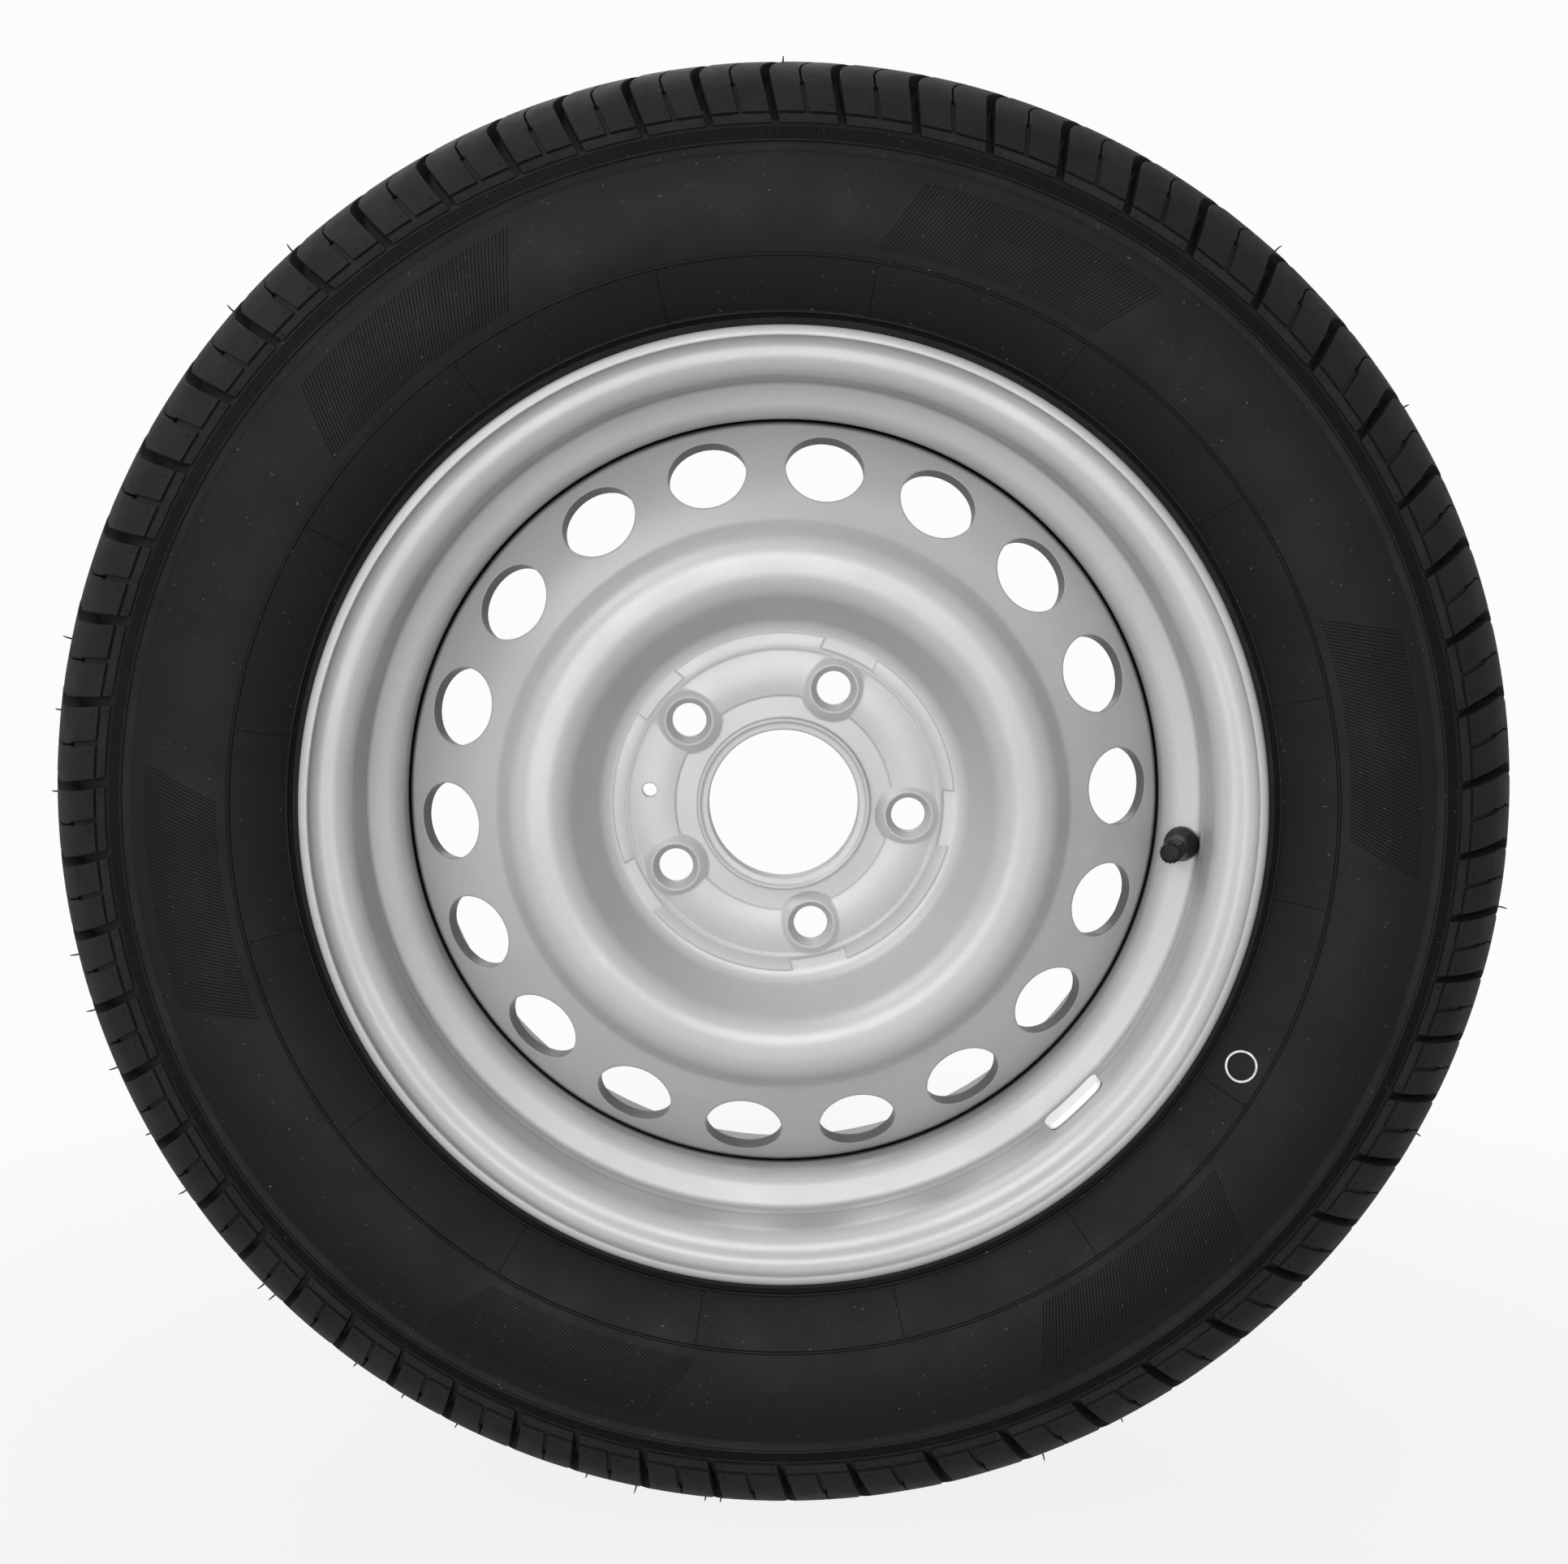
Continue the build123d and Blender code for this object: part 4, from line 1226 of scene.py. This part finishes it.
@dataclass
class SteelWheel:
    """The pressed disc and the rolled rim, lacquered as one."""

    sheet: float = 2.8 * MM
    lip: SectionPoint = (203.0 * MM, 83.75 * MM)
    lip_curve: float = 3.6 * MM
    flange: SectionPoint = (207.4 * MM, 69.85 * MM)
    flange_curve: float = 9.5 * MM
    seat: SectionPoint = (190.1 * MM, 50.35 * MM)
    seat_curve: float = 6.5 * MM
    seat_taper: float = radians(5)
    hump_height: float = 1.3 * MM
    hump_width: float = 6.5 * MM
    hump_curve: float = 5 * MM
    well_radius: float = 172.6 * MM
    well_wall: float = radians(18)
    well_floor: float = 42 * MM
    well_curve: float = 7 * MM
    wall_gap: float = 5.5 * MM
    rear_slope: float = radians(33)
    rear_curve: float = 12 * MM
    segments: int = 360
    crisp: float = 40.0
    cone_tilt: float = radians(36.9)
    vent_band: tuple[float, float] = (133 * MM, 167 * MM)
    vent_wall: float = 0.3
    skirt_start: float = -20 * MM
    weld: SectionPoint = (168.6 * MM, 6.2 * MM)
    welds: int = 6
    ripples: int = 72
    ripple_size: float = 1.75 * MM
    ripple_step: float = radians(0.5556)
    ripple_half: float = 0.8
    ripple_profile: SectionPoints = (
        (-1.0, 0.35), (-0.6, 0.85), (0.0, 1.0), (0.6, 0.85), (1.0, 0.35),
    )
    ripple_corners: int = 8
    first_ripple: float = radians(90.3)

    def rim_line(self) -> list[Vector]:
        """Draw the tyre's side of the rim.

        Returns:
            Points from the outboard lip to the inboard one, as radius and Y.
        """
        seat_end = self.seat[0] - (self.flange[1] - self.seat[1]) * tan(self.seat_taper)
        hump_foot = self.seat[1] - self.hump_width
        end = [
            (*self.lip, 0.0),
            (self.flange[0], self.lip[1], self.lip_curve),
            (*self.flange, self.flange_curve),
            (self.seat[0], self.flange[1], self.seat_curve),
            (seat_end, self.seat[1], self.hump_curve),
            (seat_end + self.hump_height, self.seat[1] - self.hump_width / 2, self.hump_curve),
            (seat_end, hump_foot, self.hump_curve),
        ]
        wall_head, head_reach = seat_end - self.hump_height / 2, hump_foot - self.wall_gap
        rise = wall_head - self.well_radius
        floor_reach = head_reach - rise * tan(self.well_wall)
        floor_end = self.well_floor - floor_reach
        well = [
            (wall_head, -head_reach, self.hump_curve),
            (self.well_radius, -floor_reach, self.well_curve),
            (self.well_radius, floor_end, self.rear_curve),
            (wall_head, floor_end + rise / tan(self.rear_slope), self.rear_curve),
        ]
        return rounded([(r, -y, curve) for r, y, curve in end] + well + end[::-1])

    def build(self) -> None:
        """Turn the rim, and dress the disc and the welds."""
        rim = turned(sheet_section(self.rim_line(), self.sheet), self.segments)
        piece = rim.piece("rim_surface", SILVER_PAINT.material(), self.crisp)
        keep(piece, Body.WHEEL, Slot.PAINT, "rim")
        disc = smooth_copy("wheel_disc", SILVER_PAINT)
        self.mark_vents(disc.data)
        keep(disc, Body.WHEEL, Slot.PAINT, "wheel_disc")
        dress("disc_welds", WELD_METAL)
        self.build_ripples()

    def mark_vents(self, mesh: bpy.types.Mesh) -> None:
        """Mark the walls of the vents, where the lacquer gets a painted shade.

        Args:
            mesh: The disc's mesh, which gets the mark as an attribute of its faces.
        """
        walls = mesh.attributes.new(VENT_SHADE_ATTRIBUTE, "FLOAT", "FACE")
        out, along = sin(self.cone_tilt), -cos(self.cone_tilt)
        for face in mesh.polygons:
            x, y, z = face.center
            radius = hypot(x, z)
            slope = (x * out / radius, along, z * out / radius)
            inside = self.vent_band[0] < radius < self.vent_band[1] and y < self.skirt_start
            walls.data[face.index].value = float(inside and abs(face.normal.dot(slope)) < self.vent_wall)

    def build_ripples(self) -> None:
        """Lay the ripples of the weld pool along each bead."""
        rings = []
        for across, size in self.ripple_profile:
            turn = self.ripple_step * self.ripple_half * across
            ring = []
            for c, s in circle(self.ripple_corners):
                radius = self.weld[0] + self.ripple_size * size * s
                reach = self.weld[1] + self.ripple_size * size * c
                ring.append((radius * sin(turn), reach, radius * cos(turn)))
            rings.append(ring)
        piece = grow(
            "weld_ripples",
            ring_tree(),
            Shape.skinned(rings),
            WELD_METAL,
            Count=self.ripples * self.welds,
            Group_Size=self.ripples,
            Group_Step=2 * pi / self.welds,
            Step=self.ripple_step,
            Start=self.first_ripple,
        )
        keep(piece, Body.WHEEL, Slot.PAINT)


@dataclass
class Valve:
    """The snap-in valve with its core and dust cap."""

    foot: Point = (177.8174 * MM, -38.3558 * MM, -17.7485 * MM)
    axis: Point = (-0.307489, -0.951057, 0.030691)
    cap_radius: float = 4.6 * MM
    rib_span: tuple[float, float] = (23.4 * MM, 34.6 * MM)
    rib_half: float = 0.42 * MM
    rib_height: float = 0.3 * MM
    rib_root: float = 0.5 * MM
    ribs: int = 16
    brass_nodes: tuple[str, ...] = (
        "valve_stem", "core_plug", "core_barrel", "core_pin", "core_spring_seat", "core_plunger_cup",
    )
    seal_nodes: tuple[str, ...] = ("core_barrel_gasket", "core_plunger_gasket", "cap_seal")

    def build_ribs(self) -> None:
        """Set grip ribs round the cap, upright first and then along the valve."""
        start, end = self.rib_span
        base, top = self.cap_radius - self.rib_root, self.cap_radius + self.rib_height
        half, ease = self.rib_half, self.rib_height / 2
        low = base + 2 * ease
        rings = []
        for along, height in ((start, low), (start + 2 * half, top), (end - 2 * half, top), (end, low)):
            edge = height - ease
            profile = ((-half, base), (-half, edge), (0.0, height), (half, edge), (half, base))
            rings.append([(across, along, up) for across, up in profile])
        sizes = {"Count": self.ribs, "Group_Size": self.ribs, "Step": 2 * pi / self.ribs}
        piece = grow("cap_ribs", ring_tree(), Shape.skinned(rings), CAP_PLASTIC, **sizes)
        ahead = Vector(self.axis).normalized()
        side = ahead.orthogonal().normalized()
        frame_of_valve = Matrix((side, ahead, side.cross(ahead))).transposed().to_4x4()
        piece.data.transform(Matrix.Translation(self.foot) @ frame_of_valve)
        keep(piece, Body.CAP, Slot.CAP)

    def build_spring(self) -> None:
        """Stand a smooth-shaded copy of the core's spring in for it, where it stands."""
        spring = smooth_copy("core_spring", SPRING_STEEL)
        foot, ahead = Vector(self.foot), Vector(self.axis).normalized()
        reaches = [ahead.dot(point.co - foot) for point in spring.data.vertices]
        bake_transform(spring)
        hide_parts("core_spring")
        LOG.info("%s between %s and %s", spring.name, Body.WHEEL.value, Body.PIN.value)

    def build(self) -> None:
        """Dress the rubber, the brass, the core and the cap."""
        self.build_ribs()
        smoothed("valve_body", VALVE_RUBBER, Body.WHEEL, Slot.VALVE)
        for nodes, finish in ((self.brass_nodes, TURNED_BRASS), (self.seal_nodes, SEAL_RUBBER)):
            for node in nodes:
                dress(node, finish)
        self.build_spring()
        smoothed("cap_shell", CAP_PLASTIC, Body.CAP, Slot.CAP)


@dataclass
class BalanceWeight:
    """The white stick-on weight and its tape."""

    def build(self) -> None:
        """Dress the weight and its tape."""
        smoothed("balance_weight", WEIGHT_COATING, Body.WHEEL, Slot.WEIGHT)
        dress("weight_tape", FOAM_TAPE)


@dataclass
class Studio:
    """White floor and backdrop, soft lamps, and the camera at the photograph's place.

    Each lamp has a name, a place, the side of its square and a power in watts.
    """

    camera_place: Point = (0.0002, -1.0559, 0.1478)
    camera_pitch: float = radians(82.281)
    lens: float = 53.0
    sensor: float = 36.0
    floor_level: float = -0.3208
    floor_half: float = 12.0
    floor_colour: str = "#a6a6a6"
    backdrop_colour: str = "#fcfcfc"
    shadow_reach: tuple[float, float] = (0.33, 0.9)
    shadow_share: tuple[float, float] = (0.88, 1.0)
    sky_colour: str = "#ffffff"
    sky_strength: float = 0.08
    lamps: tuple[tuple[str, Point, float, float], ...] = (
        ("key", (-1.6, -1.1, 1.9), 1.6, 34),
        ("front", (-0.2, -2.7, 0.4), 1.5, 63),
        ("fill", (2.0, -1.0, 0.9), 1.8, 2),
        ("back", (-0.4, 1.8, 1.8), 1.6, 24),
    )

    def build(self) -> None:
        """Set up the camera, the floor, the world and the lamps."""
        scene = bpy.context.scene
        scene.view_settings.view_transform = "Standard"
        data = bpy.data.cameras.new("camera")
        data.lens, data.sensor_width = self.lens, self.sensor
        camera = bpy.data.objects.new("camera", data)
        camera.location = self.camera_place
        camera.rotation_euler = (self.camera_pitch, 0, 0)
        scene.collection.objects.link(camera)
        scene.camera = camera
        self.build_floor()
        self.build_world(scene)
        for lamp in self.lamps:
            self.add_lamp(*lamp)

    def add_lamp(self, name: str, place: Point, size: float, power: float) -> None:
        """Add a square soft lamp that faces the wheel.

        Args:
            name: Name of the lamp.
            place: Where it hangs.
            size: Side of the square.
            power: Power in watts.
        """
        data = bpy.data.lights.new(name, "AREA")
        data.size, data.energy = size, power
        lamp = bpy.data.objects.new(name, data)
        lamp.location = place
        lamp.rotation_euler = (-Vector(place)).to_track_quat("-Z", "Y").to_euler()
        bpy.context.scene.collection.objects.link(lamp)

    def seen_share(self, tree: Tree) -> Socket:
        """Tell rays from the camera, a mirror or glass from the rest.

        Args:
            tree: Tree that gets the nodes.

        Returns:
            1 for such a ray and 0 for the rest.
        """
        path = add_node(tree, "ShaderNodeLightPath").outputs
        rays = {0: path["Is Camera Ray"], 1: path["Is Glossy Ray"]}
        seen = add_node(tree, "ShaderNodeMath", rays, operation="ADD").outputs[0]
        rays = {0: seen, 1: path["Is Transmission Ray"]}
        return add_node(tree, "ShaderNodeMath", rays, operation="ADD", use_clamp=True).outputs[0]

    def build_floor(self) -> None:
        """Lay the white floor, which keeps a soft shadow."""
        side, level = self.floor_half, self.floor_level
        corners = ((-side, -side), (side, -side), (side, side), (-side, side))
        shape = Shape([(x, y, level) for x, y in corners], [(0, 1, 2, 3)])
        material = bpy.data.materials.new("white studio floor")
        material.use_nodes = True
        tree = material.node_tree
        tree.nodes.clear()
        matt = add_node(tree, "ShaderNodeBsdfDiffuse", {"Color": linear(self.floor_colour)}).outputs[0]
        light = {"Color": linear(self.backdrop_colour), "Strength": 1.0}
        glow = add_node(tree, "ShaderNodeEmission", light).outputs[0]
        place = add_node(tree, "ShaderNodeTexCoord").outputs["Object"]
        away = add_node(tree, "ShaderNodeVectorMath", {0: place}, operation="LENGTH").outputs["Value"]
        spread = {"Value": away, **dict(enumerate((*self.shadow_reach, *self.shadow_share), 1))}
        fade = add_node(tree, "ShaderNodeMapRange", spread).outputs[0]
        shares = {0: self.seen_share(tree), 1: fade}
        share = add_node(tree, "ShaderNodeMath", shares, operation="MULTIPLY").outputs[0]
        mixed = add_node(tree, "ShaderNodeMixShader", {0: share, 1: matt, 2: glow}).outputs[0]
        add_node(tree, "ShaderNodeOutputMaterial", {"Surface": mixed})
        shape.piece("floor", material)

    def build_world(self, scene: bpy.types.Scene) -> None:
        """Make the backdrop white to the eye and a soft grey as a light.

        Args:
            scene: Scene that gets the world.
        """
        world = bpy.data.worlds.new("studio")
        scene.world = world
        world.use_nodes = True
        tree = world.node_tree
        tree.nodes.clear()
        soft, seen = (
            add_node(tree, "ShaderNodeBackground", {"Color": linear(code), "Strength": strength}).outputs[0]
            for code, strength in ((self.sky_colour, self.sky_strength), (self.backdrop_colour, 1.0))
        )
        shaders = {0: self.seen_share(tree), 1: soft, 2: seen}
        mixed = add_node(tree, "ShaderNodeMixShader", shaders).outputs[0]
        add_node(tree, "ShaderNodeOutputWorld", {"Surface": mixed})


def main() -> None:
    """Build the assembly and the studio."""
    logging.basicConfig(level=logging.INFO, format="%(name)s: %(message)s")
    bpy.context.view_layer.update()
    for part in (Studio(), Tyre(), SteelWheel(), Valve(), BalanceWeight()):
        LOG.info("building %s", type(part).__name__)
        part.build()


if __name__ == "__main__":
    main()
